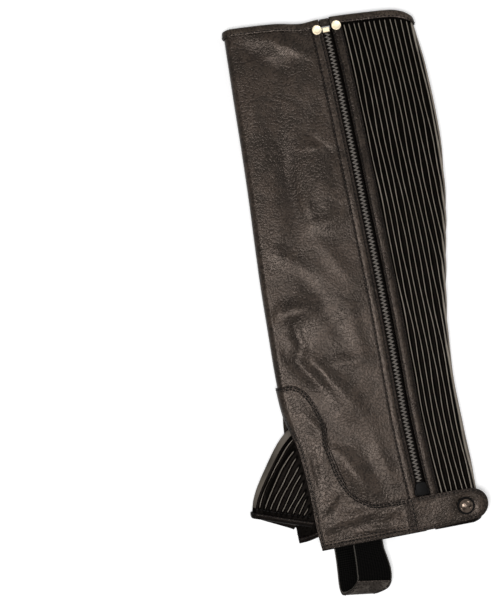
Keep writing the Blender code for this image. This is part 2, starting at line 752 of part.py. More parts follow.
def gusset_base(w, t, side):
    """Middle of the gusset's wall: w is the distance from its fold, t runs from the seam to the foot edge."""
    width = gusset_width(side)
    radius, middle = gusset_fold(t)
    rolled = w < radius * math.pi / 2
    reach = radius * (1 - math.cos(w / radius)) if rolled else radius + w - radius * math.pi / 2
    share = reach / width
    start = gusset_seam(mix(GUSSET_APEX_V, GUSSET_FOOT_V, share), side)
    start_u = start[0] + (GUSSET_APEX[1][0] - GUSSET_APEX[side][0]) * (1 - min(share, 1.0)) ** 6
    end_u = mix(GUSSET_CORNER[0], GUSSET_FOOT[side][0], share)
    end_v = mix(GUSSET_CORNER[1], GUSSET_FOOT[side][1], share)
    du, dv = end_u - start_u, end_v - start[1]
    length = math.hypot(du, dv)
    bow = GUSSET_BOW * (1 - share) * (1 - abs(2 * t - 1) ** 3.5) / length
    u = mix(start_u, end_u, t) + bow * dv
    v = mix(start[1], end_v, t) - bow * du
    if rolled:
        return u, v, middle + side * radius * math.sin(w / radius)
    beyond = (share - radius / width) / (1 - radius / width)
    seam_z = gusset_seam(mix(GUSSET_APEX_V, GUSSET_FOOT_V, beyond), side)[2]
    foot_z = GUSSET_FOOT_TOP if side > 0 else GUSSET_FOOT_LOW
    fall = (t * (1 - beyond)) ** mix(1.0, 2.5, ramp(beyond, 0.0, 0.3))
    return u, v, mix(seam_z, foot_z, fall)


def gusset_point(w, t, side, out):
    """The same, moved out of the gusset."""
    step = 0.05
    here = Vector(gusset_base(w, t, side))
    across = Vector(gusset_base(w + step, t, side)) - here if w > 0 else Vector((0, 0, side))
    down = Vector(gusset_base(w, t + step / 10, side)) - here
    return here - across.cross(down).normalized() * side * out


def gusset_rib_length(w, side):
    return math.dist(gusset_base(w, 0.0, side)[:2], gusset_base(w, 1.0, side)[:2])


def gusset_columns(side):
    """Shares of its reach: two for each tuck."""
    return shares(2 * round(gusset_width(side) / GUSSET_RIB_PITCH))


def instep_gusset():
    patches = []
    for side in (1, -1):
        columns = gusset_columns(side)

        def point(s, t, side=side, last=len(columns) - 1):
            w = s * gusset_across(GUSSET_REACH, t, side)
            crest = GUSSET_RIB * (round(s * last) % 2) * ramp(w, 2, 7) * ramp(s, 1.0, 0.9)
            crest *= ramp((1 - t) * gusset_rib_length(w, side), HEM_BAND_DEPTH + 0.6, 9)
            u, v, _ = gusset_base(w, t, side)
            crest *= ramp(shin_fold(v, inner=side < 0).u - u, 1.0, 5)
            return gusset_point(w, t, side, crest)

        patches.append((columns, GUSSET_ROWS, point))
    add_wall("instep_gusset", patches, GUSSET_WALL, RIBBED)


def gusset_binding():
    section = binding_section(HEM_BAND_DEPTH, GUSSET_WALL / 2)
    patches = []
    for side in (1, -1):
        columns = gusset_columns(side)
        columns = columns[:6] + columns[8 : round(len(columns) * GUSSET_BOUND) : 3]

        def point(s, edge, side=side):
            w = s * gusset_across(GUSSET_REACH, 1.0, side)
            return gusset_point(w, 1 - edge.inward / gusset_rib_length(w, side), side, edge.out)

        patches.append((columns, section, point))
    add_wall("gusset_binding", patches, BINDING, EDGE)


# ---------------------------------------------------------------- stirrup
def strap_column(name):
    return tuple((row, getattr(values, name)) for row, values in enumerate(STRAP))


STRAP_CURVES = {name: strap_column(name) for name in StrapRow._fields}


def strap_base(s, row):
    """Point across the strap (s = 0 left, 1 right) at a row, counted from its end under the outer wall."""
    read = {name: smooth(curve, row) for name, curve in STRAP_CURVES.items()}
    return Vector((
        mix(read["left_u"], read["right_u"], s),
        mix(read["left_v"], read["right_v"], s),
        read["height"],
    ))


def strap_point(s, row, out):
    """The same, moved out of the loop."""
    step = 0.02
    across = strap_base(1.0, row) - strap_base(0.0, row)
    onward = strap_base(s, row + step) - strap_base(s, row - step)
    return strap_base(s, row) - across.cross(onward).normalized() * out


def stirrup():
    last, across = len(STRAP) - 1, shares(2)
    rows = [row / 2 for row in range(2 * last + 1)]
    covered = [row for row in rows if COVER_ROWS[0] <= row <= COVER_ROWS[1]]

    def elastic(s, row):
        return strap_point(s, min(last - 0.02, max(0.02, row)), 0.0)

    def cover(s, row):
        return strap_point(s, row, ELASTIC / 2 + GAP + COVER / 2)

    def patch(u, v):
        return u, v, PATCH_WALL / 2

    add_wall("stirrup_elastic", [(across, rows, elastic)], ELASTIC, BLACK_WEB)
    add_wall("stirrup_sole_cover", [(across, covered, cover)], COVER, COVER_HIDE)
    add_wall("stirrup_patch", [(PATCH[:2], PATCH[2:], patch)], PATCH_WALL, EDGE)


# ---------------------------------------------------------------- press stud and rivets
def fastenings():
    tab_top = tab_height(SNAP_U, SNAP_V) + TRIM / 2
    r = SNAP_RADIUS
    dome = [(0, 3.2), (r * 0.35, 3.05), (r * 0.65, 2.5), (r * 0.88, 1.5), (r, 0.5), (r, 0), (0, 0)]
    add_turned("snap_cap", dome, (SNAP_U, SNAP_V, tab_top + GAP), GUNMETAL)

    panel_top = upper_height(SNAP_U, SNAP_V) + HALF
    room = tab_height(SNAP_U, SNAP_V) - TRIM / 2 - panel_top - 2 * GAP
    socket = [(0, room), (5.2, room), (5.6, room * 0.6), (5.6, 0), (0, 0)]
    add_turned("snap_socket", socket, (SNAP_U, SNAP_V, panel_top + GAP), GUNMETAL)

    r = RIVET_RADIUS
    rivet = [(0, 0.9), (r * 0.72, 0.9), (r * 0.8, 1.25), (r * 0.94, 1.1), (r, 0.5), (r, 0), (0, 0)]
    for end, (u, v) in RIVETS.items():
        add_turned(f"top_rivet_{end}", rivet, (u, v, upper_height(u, v) + HALF + TRIM_ROOM + GAP), NICKEL)


# ---------------------------------------------------------------- run
def build():
    main_panel()
    ankle_piece()
    snap_tab()
    hem_facing_front()
    zip_pieces()
    stretch_panel()
    rear_seam_strip()
    top_binding()
    hem_binding_rear()
    instep_gusset()
    gusset_binding()
    stirrup()
    fastenings()


build()
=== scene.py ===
"""Looks of a leather half chap: a gaiter with a ribbed calf panel, laid flat with its zip side up.

Every cut piece is a thin shell on the form of its plain solid in the frame, with the creases, tucks, stitches
and grain that the solid leaves out. Sizes are in millimetres: `u` runs across the leg and `v` along it, from the
lower end of the zip, and `z` is the height over the surface that the chap lies on.
"""

import logging
import math
from dataclasses import dataclass, field, replace
from enum import Enum
from functools import cache, partial
from typing import Callable, NamedTuple, Sequence

import bmesh
import bpy
import numpy as np
from mathutils import Matrix, Vector
from mathutils.kdtree import KDTree


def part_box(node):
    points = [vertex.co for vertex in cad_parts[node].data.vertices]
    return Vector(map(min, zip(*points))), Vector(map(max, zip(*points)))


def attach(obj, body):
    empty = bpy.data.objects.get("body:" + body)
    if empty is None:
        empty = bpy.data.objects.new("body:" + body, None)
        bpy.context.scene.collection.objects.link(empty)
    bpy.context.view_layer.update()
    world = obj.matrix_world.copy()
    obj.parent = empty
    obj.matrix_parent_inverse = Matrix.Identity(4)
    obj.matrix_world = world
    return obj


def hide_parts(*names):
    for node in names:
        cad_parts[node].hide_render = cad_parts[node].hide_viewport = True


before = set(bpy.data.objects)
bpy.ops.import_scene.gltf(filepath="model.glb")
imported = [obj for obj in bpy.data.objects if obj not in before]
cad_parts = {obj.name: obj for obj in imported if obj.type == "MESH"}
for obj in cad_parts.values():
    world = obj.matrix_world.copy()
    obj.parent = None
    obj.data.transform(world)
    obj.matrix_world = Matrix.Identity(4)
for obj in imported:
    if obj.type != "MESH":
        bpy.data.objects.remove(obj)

log = logging.getLogger("half_chap")
Array = np.ndarray
Surface = tuple[Array, Array]  # points in millimetres, and the directions out of the piece there
Marks = dict[str, Array]  # values that a finish reads, by name
Object, Tree, Socket = bpy.types.Object, bpy.types.NodeTree, bpy.types.NodeSocket
MM = 0.001  # a millimetre, in metres

SNAP_SPOT = (54.0, -1.2)  # middle of the press stud, as u and v


def frame_origin() -> list[float]:
    """u and v of the frame's origin, read from where the press stud stands."""
    low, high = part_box("snap_cap")
    return [place - (a + b) / 2 / MM for place, a, b in zip(SNAP_SPOT, low, high)]


ORIGIN = np.array([*frame_origin(), 0.0])


# ---- numbers
def mix(a: Array, b: Array, t: Array) -> Array:
    """The value a share t of the way from a to b."""
    return a + (b - a) * t


def ramp(x: Array, start: Array, end: Array) -> Array:
    """0 before start, 1 after end and smooth between; start may be the larger."""
    t = np.clip((x - start) / (end - start), 0.0, 1.0)
    return t * t * (3 - 2 * t)


def inside(x: Array, low: Array, high: Array, fade: float) -> Array:
    """1 between low and high, falling to 0 over a fade outside them."""
    return ramp(x, low - fade, low) * ramp(x, high + fade, high)


def unit(vectors: Array) -> Array:
    """The same directions, one long."""
    return vectors / np.maximum(np.linalg.norm(vectors, axis=-1, keepdims=True), 1e-9)


@dataclass(frozen=True)
class Curve:
    """A smooth line through (at, value) knots, level past its ends."""

    knots: tuple[tuple[float, float], ...]

    def __call__(self, x: Array) -> Array:
        """Values at x.

        Args:
            x: where to read the curve.

        Returns:
            A value for each x.
        """
        at, value = np.array(self.knots, dtype=float).T
        slope = np.empty_like(value)
        slope[1:-1] = (value[2:] - value[:-2]) / (at[2:] - at[:-2])
        slope[0] = (value[1] - value[0]) / (at[1] - at[0])
        slope[-1] = (value[-1] - value[-2]) / (at[-1] - at[-2])
        x = np.clip(x, at[0], at[-1])
        k = np.clip(np.searchsorted(at, x, side="right") - 1, 0, len(at) - 2)
        span = at[k + 1] - at[k]
        t = (x - at[k]) / span
        return (
            (2 * t**3 - 3 * t**2 + 1) * value[k]
            + (t**3 - 2 * t**2 + t) * span * slope[k]
            + (3 * t**2 - 2 * t**3) * value[k + 1]
            + (t**3 - t**2) * span * slope[k + 1]
        )


def curves(at: Sequence[float], rows: Sequence[Sequence[float]]) -> list[Curve]:
    """One curve for each column of a table, whose rows are read at these places."""
    return [Curve(tuple(zip(map(float, at), column))) for column in zip(*rows)]


class Dent(NamedTuple):
    """A soft hollow (rise below 0) or swell; turn is the angle of its length from across, in degrees."""

    u: float
    v: float
    length: float
    width: float
    turn: float
    rise: float


def swell(dents: Sequence[Dent], u: Array, v: Array) -> Array:
    """Height that all the dents add at each place.

    Args:
        dents: hollows and swells.
        u: places across.
        v: places along.

    Returns:
        Height in millimetres at each place.
    """
    total = np.zeros(np.broadcast(u, v).shape)
    for dent in dents:
        turn = math.radians(dent.turn)
        du, dv = u - dent.u, v - dent.v
        along = (du * math.cos(turn) + dv * math.sin(turn)) / (dent.length / 2)
        across = (dv * math.cos(turn) - du * math.sin(turn)) / (dent.width / 2)
        total = total + dent.rise * np.exp(-(along**2) - across**2)
    return total


# ---- the leg's flattened tube
class Station(NamedTuple):
    """A level of the tube: outline at the shin and at the calf, middle of the zip, height of the upper wall."""

    v: float
    front: float
    rear: float
    zip: float
    crown: float


STATIONS = tuple(Station(*row) for row in (
    (-20, -72.6, 66.2, 21.6, 14.0),
    (0, -74.0, 67.0, 20.9, 14.0),
    (30, -74.0, 67.6, 19.4, 13.8),
    (60, -75.6, 67.0, 18.4, 13.2),
    (84, -78.4, 66.6, 18.0, 12.8),
    (101, -82.0, 66.7, 18.1, 12.6),
    (118, -83.3, 67.4, 18.4, 12.5),
    (140, -83.4, 69.0, 18.7, 12.5),
    (170, -82.5, 73.0, 18.9, 12.6),
    (210, -81.3, 80.2, 18.8, 12.8),
    (250, -79.2, 88.0, 18.3, 13.0),
    (290, -76.8, 93.0, 17.9, 13.1),
    (330, -75.0, 95.0, 17.4, 13.1),
    (370, -73.6, 94.0, 16.7, 12.9),
    (400, -72.4, 91.0, 15.8, 12.6),
    (420, -71.6, 89.4, 14.8, 12.4),
    (436, -70.6, 88.2, 14.0, 12.3),
))
_, FRONT, REAR, ZIP, CROWN = curves([station.v for station in STATIONS], STATIONS)
# shin edge of the inner wall below the slit's top, as (v, u); then the panels' edges, as (u, v)
INNER_FRONT = Curve(((-20, -90.6), (9, -90.8), (50, -88.2), (75, -85.6), (101, -82.0)))
KNEE_OUTER = Curve(((-90, 433), (-70, 433), (-28, 430), (-6, 426), (8, 426.6), (22, 427), (53, 425),
                    (72, 423), (82, 419.5), (92, 413)))
KNEE_INNER = Curve(((-90, 432), (-70, 431), (-35, 423), (15, 417), (50, 416), (80, 415), (92, 412)))
HEM_INNER = Curve(((-95, -7), (-80, -6), (-55, 0), (-20, 1), (20, -2), (50, -8.5), (70, -12.5)))

# broad hollows and swells that the plain solid has too
BROAD_DENTS = (
    Dent(-42, 352, 95, 20, 74, -0.9),
    Dent(-12, 300, 120, 17, 86, 0.8),
    Dent(-58, 255, 70, 15, 62, 0.7),
    Dent(-36, 196, 90, 16, 112, -0.9),
    Dent(-8, 150, 70, 15, 96, 0.7),
    Dent(-60, 150, 34, 11, 48, -0.8),
    Dent(-36, 404, 60, 14, 12, 0.6),
)
# creases of worn, folded hide on the outer side
CREASES = (
    Dent(-22, 411, 46, 11, 147, 0.9),
    Dent(-46, 405, 42, 15, 138, -0.9),
    Dent(-58, 366, 40, 14, 84, 0.5),
    Dent(-14, 342, 46, 16, 62, -0.6),
    Dent(-41, 294, 78, 18, 86, -1.3),
    Dent(-6, 320, 28, 6, 130, -0.6),
    Dent(-15, 321, 18, 5, 168, 0.4),
    Dent(-14, 256, 34, 12, 8, 0.6),
    Dent(-28, 268, 30, 12, 100, 0.5),
    Dent(-50, 228, 36, 12, 142, 0.6),
    Dent(-14, 222, 44, 13, 120, 0.5),
    Dent(-57, 187, 46, 17, 4, 1.2),
    Dent(-58, 165, 34, 10, 95, -0.8),
    Dent(-22, 176, 44, 12, 24, 0.4),
    Dent(-58, 137, 46, 12, 127, -1.1),
    Dent(-41, 128, 44, 13, 126, 0.9),
    Dent(-20, 137, 44, 10, -3, 0.5),
    Dent(-26, 101, 48, 22, 122, 1.1),
    Dent(-32, 42, 52, 18, 114, 1.7),
    Dent(-42, 70, 20, 9, 150, -0.6),
    Dent(-8, 52, 44, 12, 100, 0.4),
    Dent(-65, 51, 30, 4.5, 92, -0.5),
    Dent(-60, 90, 28, 11, 116, 0.6),
    Dent(-56, 66, 40, 8, 84, 0.4),
    Dent(-58, 22, 22, 7, 40, 0.6),
    Dent(-38, 7, 38, 10, 3, 0.9),
    Dent(-62, 2, 14, 8, 20, 0.6),
    Dent(-22, -7, 30, 6, 176, 0.5),
    Dent(-10, 5, 24, 7, 20, 0.4),
)
# similar ones on the side that lies on the surface, all of them raised from it
UNDER_CREASES = (
    Dent(-30, 372, 70, 18, 80, 1.1),
    Dent(14, 330, 90, 16, 96, 1.0),
    Dent(-46, 268, 60, 15, 66, 1.0),
    Dent(10, 236, 70, 17, 112, 1.1),
    Dent(-34, 176, 64, 15, 84, 1.0),
    Dent(16, 142, 50, 12, 60, 0.9),
    Dent(-28, 96, 44, 12, 120, 1.0),
    Dent(18, 60, 52, 13, 98, 0.9),
)


@dataclass(frozen=True)
class Spots:
    """Places on the tube: which way is out of it at each, and 0 on the outer side to 1 on the inner one."""

    u: Array
    v: Array
    z: Array
    tilt_u: Array
    tilt_z: Array
    under: Array

    def lifted(self, out: Array) -> Surface:
        """Moves the places out of the tube.

        Args:
            out: distance, for all or for each.

        Returns:
            The points and their outward directions.
        """
        points = np.stack([self.u + self.tilt_u * out, self.v + 0.0 * self.u, self.z + self.tilt_z * out], -1)
        outward = np.stack([self.tilt_u, np.zeros_like(self.tilt_u), self.tilt_z], -1)
        return points, outward

    def under_or(self, other: "Spots", here: Array) -> "Spots":
        """These places where `here` is true and the other ones elsewhere."""
        names = self.__dataclass_fields__
        return Spots(*(np.where(here, getattr(self, name), getattr(other, name)) for name in names))


@dataclass(frozen=True)
class Fold:
    """A rolled fold: where its wall starts, its radius and the height of its middle."""

    u: Array
    radius: Array
    middle: Array

    def spots(self, angle: Array, v: Array, side: float) -> Spots:
        """Places at an angle from its top.

        Args:
            angle: from 0 at the top to pi underneath.
            v: places along.
            side: -1 at the shin and 1 at the calf.

        Returns:
            The places.
        """
        tilt_u, tilt_z = side * np.sin(angle), np.cos(angle)
        z = self.middle + self.radius * tilt_z
        return Spots(self.u + self.radius * tilt_u, v, z, tilt_u, tilt_z, angle / math.pi)


@dataclass(frozen=True)
class Leg:
    """The tube that the cut pieces lie on: outer and inner wall, joined by folds at the shin and the calf."""

    wall: float = 1.4
    trim: float = 1.3
    gap: float = 0.3
    patch_rise: float = 3.2
    knee_v: float = 428.0
    hem_v: float = -10.0
    edge_reach: float = 60.0
    notch_v: float = 101.0
    notch_open_v: float = 73.0
    scallop_v: float = 126.0
    edge_turn: float = 1.7
    calf_tuck: float = 1.3
    rear_strip: tuple[float, float] = (7.5, 28.5)
    overlap: float = 7.0
    zip_gap: float = 3.7
    hem_band: float = 3.2  # how far the bindings reach in
    knee_band: float = 5.0
    calf_hem: float = -15.3
    crease_gain: float = 1.8  # creases stand taller in the thin shell than in their table
    stirrup_patch: tuple[float, float, float, float] = (-63.2, -38.0, 2.4, 28.2)  # its sides, then its ends

    @property
    def half(self) -> float:
        """Half a wall."""
        return self.wall / 2

    @property
    def on_top(self) -> float:
        """From the middle of a wall to the middle of an overlay on it."""
        return self.half + self.gap + self.trim / 2

    def upper(self, u: Array, v: Array) -> Array:
        """Height of the outer wall's middle.

        Args:
            u: places across.
            v: places along.

        Returns:
            Its height at each place.
        """
        # hollows fade out towards the fold, the zip, the ankle piece and the knee edge
        broad = ramp(u, FRONT(v) + 8, FRONT(v) + 24) * ramp(u, 4.0, -8.0)
        broad = broad * ramp(v, self.scallop_v, self.scallop_v + 20) * ramp(v, 426.0, 408.0)
        fine = ramp(u, FRONT(v) + 3, FRONT(v) + 12) * ramp(u, 6.0, -1.0)
        fine = fine * ramp(v, self.hem_v - 6, self.hem_v + 4) * ramp(v, 428.0, 416.0)
        # the calf panel lies a little uneven between its folds
        waves = 0.3 * np.sin(v / 13.7 + u / 60) + 0.25 * np.sin(v / 22.1 + 1.4 + u / 45)
        waves = waves * ramp(v, 45.0, 85.0) * ramp(v, 400.0, 370.0) * ramp(u, FRONT(v) + 30, FRONT(v) + 60)
        waves = waves * ramp(u, REAR(v) - 12, REAR(v) - 30)
        return CROWN(v) + swell(BROAD_DENTS, u, v) * broad + self.crease_gain * swell(CREASES, u, v) * fine + waves

    def lower(self, u: Array, v: Array, creased: bool = False) -> Array:
        """Height of the inner wall's middle.

        Args:
            u: places across.
            v: places along.
            creased: whether its own creases are wanted, which the folds leave out.

        Returns:
            Its height at each place.
        """
        left, right, _, top = self.stirrup_patch
        over_patch = inside(u, left - 1, right + 3, 8) * ramp(v, top + 9, top + 0.5)
        height = self.half + self.gap + self.trim + self.patch_rise * over_patch
        if creased:
            clear = ramp(u, self.inner_front(v) + 30, self.inner_front(v) + 44)
            clear = clear * ramp(u, REAR(v) - 34, REAR(v) - 48) * ramp(v, 24.0, 44.0) * ramp(v, 404.0, 388.0)
            height = height + swell(UNDER_CREASES, u, v) * clear
        return height

    def inner_front(self, v: Array) -> Array:
        """The inner wall's outline at the shin."""
        return np.where(v >= self.notch_v, FRONT(v), INNER_FRONT(v))

    def slit(self, v: Array) -> Array:
        """Angle that is left of each half of the shin fold, none where the slit is open."""
        share = np.clip((v - self.notch_open_v) / (self.notch_v - self.notch_open_v), 0.0, 1.0)
        return math.pi / 2 * share**0.8

    def shin_fold(self, v: Array, inner: bool = False) -> Fold:
        """The shin fold of the outer or the inner half, which part at the slit.

        Args:
            v: places along.
            inner: whether it is the inner half's.

        Returns:
            The fold at each place.
        """
        edge = (self.inner_front(v) if inner else FRONT(v)) + self.half
        top, bottom = CROWN(v), self.lower(edge, v)
        radius = (top - bottom) / 2
        return Fold(edge + radius * np.sin(self.slit(v)), radius, (top + bottom) / 2)

    def calf_fold(self, v: Array) -> Fold:
        """The fold at the calf, in from the outline by the height of a tuck.

        Args:
            v: places along.

        Returns:
            The fold at each place.
        """
        edge = REAR(v) - self.half - self.calf_tuck
        top, bottom = CROWN(v), self.lower(edge, v)
        radius = (top - bottom) / 2
        return Fold(edge - radius, radius, (top + bottom) / 2)

    def outer(self, u: Array, v: Array) -> Spots:
        """Places on the outer wall."""
        flat = np.zeros(np.broadcast(u, v).shape)
        return Spots(u + flat, v + flat, self.upper(u, v), flat, flat + 1, flat)

    def inner(self, u: Array, v: Array) -> Spots:
        """Places on the inner wall."""
        flat = np.zeros(np.broadcast(u, v).shape)
        return Spots(u + flat, v + flat, self.lower(u, v, creased=True), flat, flat - 1, flat + 1)

    def outer_half(self, a: Array, v: Array, clear: float) -> Spots:
        """Places from the shin line to the zip.

        Args:
            a: from -1 at the shin line over the fold to 0, and to 1 at the zip.
            v: places along.
            clear: how far short of the zip's middle 1 lies.

        Returns:
            The places.
        """
        fold = self.shin_fold(v)
        rolled = fold.spots(self.slit(v) * np.clip(-a, 0, 1), v, -1)
        return rolled.under_or(self.outer(mix(fold.u, ZIP(v) - clear, np.clip(a, 0, 1)), v), a <= 0)

    def inner_half(self, a: Array, v: Array) -> Spots:
        """Places from the shin line underneath.

        Args:
            a: from -1 at the shin line over the fold to 0, and to 1 at the main panel's rear edge.
            v: places along.

        Returns:
            The places.
        """
        fold = self.shin_fold(v, inner=True)
        rolled = fold.spots(math.pi - self.slit(v) * np.clip(-a, 0, 1), v, -1)
        return rolled.under_or(self.inner(mix(fold.u, self.main_rear(v), np.clip(a, 0, 1)), v), a <= 0)

    def calf(self, a: Array, v: Array, clear: float) -> Spots:
        """Places on from the main panel's rear edge, over the calf and up to the zip.

        Args:
            a: 0 to 1 underneath, 1 to 2 over the fold and 2 to 3 along the outer wall.
            v: places along.
            clear: how far short of the zip's middle 3 lies.

        Returns:
            The places.
        """
        fold = self.calf_fold(v)
        below = self.inner(mix(self.main_rear(v), fold.u, np.clip(a, 0, 1)), v)
        rolled = fold.spots(math.pi * (2 - np.clip(a, 1, 2)), v, 1)
        above = self.outer(mix(fold.u, ZIP(v) + clear, np.clip(a - 2, 0, 1)), v)
        return below.under_or(rolled.under_or(above, a <= 2), a < 1)

    def calf_from_zip(self, q: Array, v: Array) -> Spots:
        """Places at a distance from the zip's middle, over the calf fold and back underneath.

        Args:
            q: the distance.
            v: places along.

        Returns:
            The places.
        """
        fold = self.calf_fold(v)
        start = fold.u - ZIP(v)
        bend = math.pi * fold.radius
        above = self.outer(ZIP(v) + np.minimum(q, start), v)
        rolled = fold.spots(np.clip((q - start) / fold.radius, 0, math.pi), v, 1)
        below = self.inner(fold.u - np.maximum(q - start - bend, 0), v)
        return above.under_or(rolled.under_or(below, q < start + bend), q < start)

    def shin_from_line(self, distance: Array, v: Array, inner: bool) -> Spots:
        """Places at a distance from the shin line, over its fold and along the wall.

        Args:
            distance: the distance.
            v: places along.
            inner: whether they are on the inner half.

        Returns:
            The places.
        """
        fold, left = self.shin_fold(v, inner), self.slit(v)
        bend = fold.radius * left
        angle = np.maximum(left - distance / fold.radius, 0)
        rolled = fold.spots(math.pi - angle if inner else angle, v, -1)
        wall = (self.inner if inner else self.outer)(fold.u + np.maximum(distance - bend, 0), v)
        return rolled.under_or(wall, distance < bend)

    def main_rear(self, v: Array) -> Array:
        """The main panel's rear edge, a lap over the rear strip."""
        return REAR(v) - self.rear_strip[1] + self.overlap

    def calf_end(self, v: Array) -> Array:
        """The stretch panel's edge under the rear strip, as a distance from the zip's middle.

        Args:
            v: places along.

        Returns:
            The distance at each place.
        """
        fold = self.calf_fold(v)
        across = fold.u - (REAR(v) - self.rear_strip[0] - self.overlap)
        return fold.u - ZIP(v) + math.pi * fold.radius + across

    def hem(self, outer_hem: float, spots: Spots) -> Array:
        """Real level of the hem at each place."""
        return mix(outer_hem, HEM_INNER(spots.u), spots.under)

    def knee(self, spots: Spots) -> Array:
        """Real level of the knee edge at each place, inside the binding's turn."""
        return mix(KNEE_OUTER(spots.u), KNEE_INNER(spots.u), spots.under) - self.edge_turn

    def bent(self, row: Array, hem: Array, knee: Array) -> Array:
        """Rows of a plain tube, bent to the real edges where they are near them.

        Args:
            row: level on the plain tube.
            hem: real level of the hem.
            knee: real level of the knee edge.

        Returns:
            The bent levels.
        """
        near_hem = 1 - ramp(row, self.hem_v, self.hem_v + self.edge_reach)
        near_knee = ramp(row, self.knee_v - self.edge_reach, self.knee_v)
        return row + near_hem * (hem - self.hem_v) + near_knee * (knee - self.knee_v)

    def fitted(self, row: Array, outer_hem: float, spots: Spots) -> Array:
        """The same, bent to the hem and the knee edge at these places."""
        return self.bent(row, self.hem(outer_hem, spots), self.knee(spots))


# ---- skins, seams and shells
class Side(Enum):
    """A side of a grid."""

    LEFT = "first column"
    RIGHT = "last column"
    LOW = "first row"
    HIGH = "last row"


class Rim(NamedTuple):
    """A side of a skin that is a cut edge, between two shares of its length."""

    side: Side
    start: float = 0.0
    end: float = 1.0


@dataclass(frozen=True)
class Skin:
    """A patch of a cut piece: columns and rows over a function that gives points and outward directions."""

    at: Callable[[Array, Array], Surface]
    columns: Array
    rows: Array
    rims: tuple[Rim, ...] = ()
    marks: Callable[[Array, Array], Marks] = lambda a, r: {}

    def read(self, side: Side, along: Array, inward: Array) -> Surface:
        """Points near one side.

        Args:
            side: the side.
            along: share of its length.
            inward: share of the way to the opposite side.

        Returns:
            The points and their outward directions.
        """
        columns, rows = self.columns, self.rows
        first = np.clip(inward if side in (Side.LEFT, Side.LOW) else 1 - inward, 0, 1)
        if side in (Side.LEFT, Side.RIGHT):
            return self.at(mix(columns[0], columns[-1], first), mix(rows[0], rows[-1], along))
        return self.at(mix(columns[0], columns[-1], along), mix(rows[0], rows[-1], first))

    def samples(self) -> Surface:
        """Points and outward directions at every column and row."""
        a, r = np.meshgrid(self.columns, self.rows)
        return self.at(a.ravel(), r.ravel())

    def rim_points(self) -> Array:
        """Points close together along all its cut edges.

        Returns:
            The points.
        """
        lines = [np.empty((0, 3))]
        for rim in self.rims:
            along = np.linspace(rim.start, rim.end, 900)
            lines.append(self.read(rim.side, along, np.zeros_like(along))[0])
        return np.concatenate(lines)


ALL_ROUND = tuple(Rim(side) for side in Side)


def nearest(points: Array) -> KDTree:
    """A tree that finds the nearest of these points.

    Args:
        points: the points.

    Returns:
        The tree, ready to search.
    """
    tree = KDTree(len(points))
    for k, point in enumerate(points):
        tree.insert(point, k)
    tree.balance()
    return tree


@dataclass(frozen=True)
class Seam:
    """A row of stitches that runs beside one side of a skin, between two shares of its length."""

    skin: Skin
    side: Side
    inset: float
    start: float = 0.0
    end: float = 1.0
    raised: float = 0.65

    def path(self) -> Surface:
        """The line that its stitches lie on.

        Returns:
            Points close together, and their outward directions.
        """
        along = np.linspace(self.start, self.end, 700)
        edge, outward = self.skin.read(self.side, along, np.full_like(along, 1e-3))
        inward = unit(np.cross(outward, np.gradient(edge, axis=0)))
        points, normals = self.skin.samples()
        if np.median(np.sum(inward * (points.mean(0) - edge), -1)) < 0:
            inward = -inward
        wanted = edge + inward * self.inset
        tree = nearest(points)
        near = [tree.find(point)[1] for point in wanted]
        outward = normals[near]
        depth = np.sum((wanted - points[near]) * outward, -1, keepdims=True)
        return wanted + outward * (self.raised - depth), outward


SIDES, ENDS = (Side.LEFT, Side.RIGHT), (Side.LOW, Side.HIGH)


def seams_on(skins: Sequence[Skin], sides: Sequence[Side], *row: float) -> list[Seam]:
    """The same row of stitches (inset, start, end, raised) beside these sides of each skin."""
    return [Seam(skin, side, *row) for skin in skins for side in sides]


def new_object(name: str, shape: bmesh.types.BMesh) -> Object:
    """Turns a finished bmesh into an object of the scene.

    Args:
        name: name of the object.
        shape: its mesh, which is freed.

    Returns:
        The object, shaded smooth.
    """
    mesh = bpy.data.meshes.new(name)
    shape.to_mesh(mesh)
    shape.free()
    mesh.shade_smooth()
    obj = bpy.data.objects.new(name, mesh)
    bpy.context.scene.collection.objects.link(obj)
    return obj


FAR = 20.0  # the most that a vertex remembers of its distance from a cut edge
WELD = 4e-6  # vertices nearer than this, in metres, are one


def over_fold(round_it: int, beyond: int) -> Array:
    """Columns round a fold, from -1 to 0, and over the wall beyond it, from 0 to 1."""
    return np.concatenate([np.linspace(-1, 0, round_it + 1)[:-1], np.linspace(0, 1, beyond + 1)])


def soften(obj: Object, radius: float, segments: int, angle: float) -> None:
    """Rounds the edges of an object that turn by more than an angle in degrees.

    Args:
        obj: the object.
        radius: how round.
        segments: faces of the rounding.
        angle: the angle.
    """
    soft = obj.modifiers.new("edges", "BEVEL")
    soft.width, soft.segments = radius * MM, segments
    soft.limit_method, soft.angle_limit = "ANGLE", math.radians(angle)


def faces_inward(skin: Skin) -> bool:
    """Whether a grid over this skin, columns by rows, would face into the tube, judged at three of its places.

    Args:
        skin: the skin.

    Returns:
        True if its faces have to be turned.
    """
    a = mix(skin.columns[0], skin.columns[-1], np.array((0.17, 0.47, 0.83)))
    r = np.full(len(a), mix(skin.rows[0], skin.rows[-1], 0.53))
    step_a, step_r = (skin.columns[-1] - skin.columns[0]) * 1e-3, (skin.rows[-1] - skin.rows[0]) * 1e-3
    here, outward = skin.at(a, r)
    across, up = skin.at(a + step_a, r)[0] - here, skin.at(a, r + step_r)[0] - here
    return float(np.sum(np.cross(across, up) * outward)) < 0


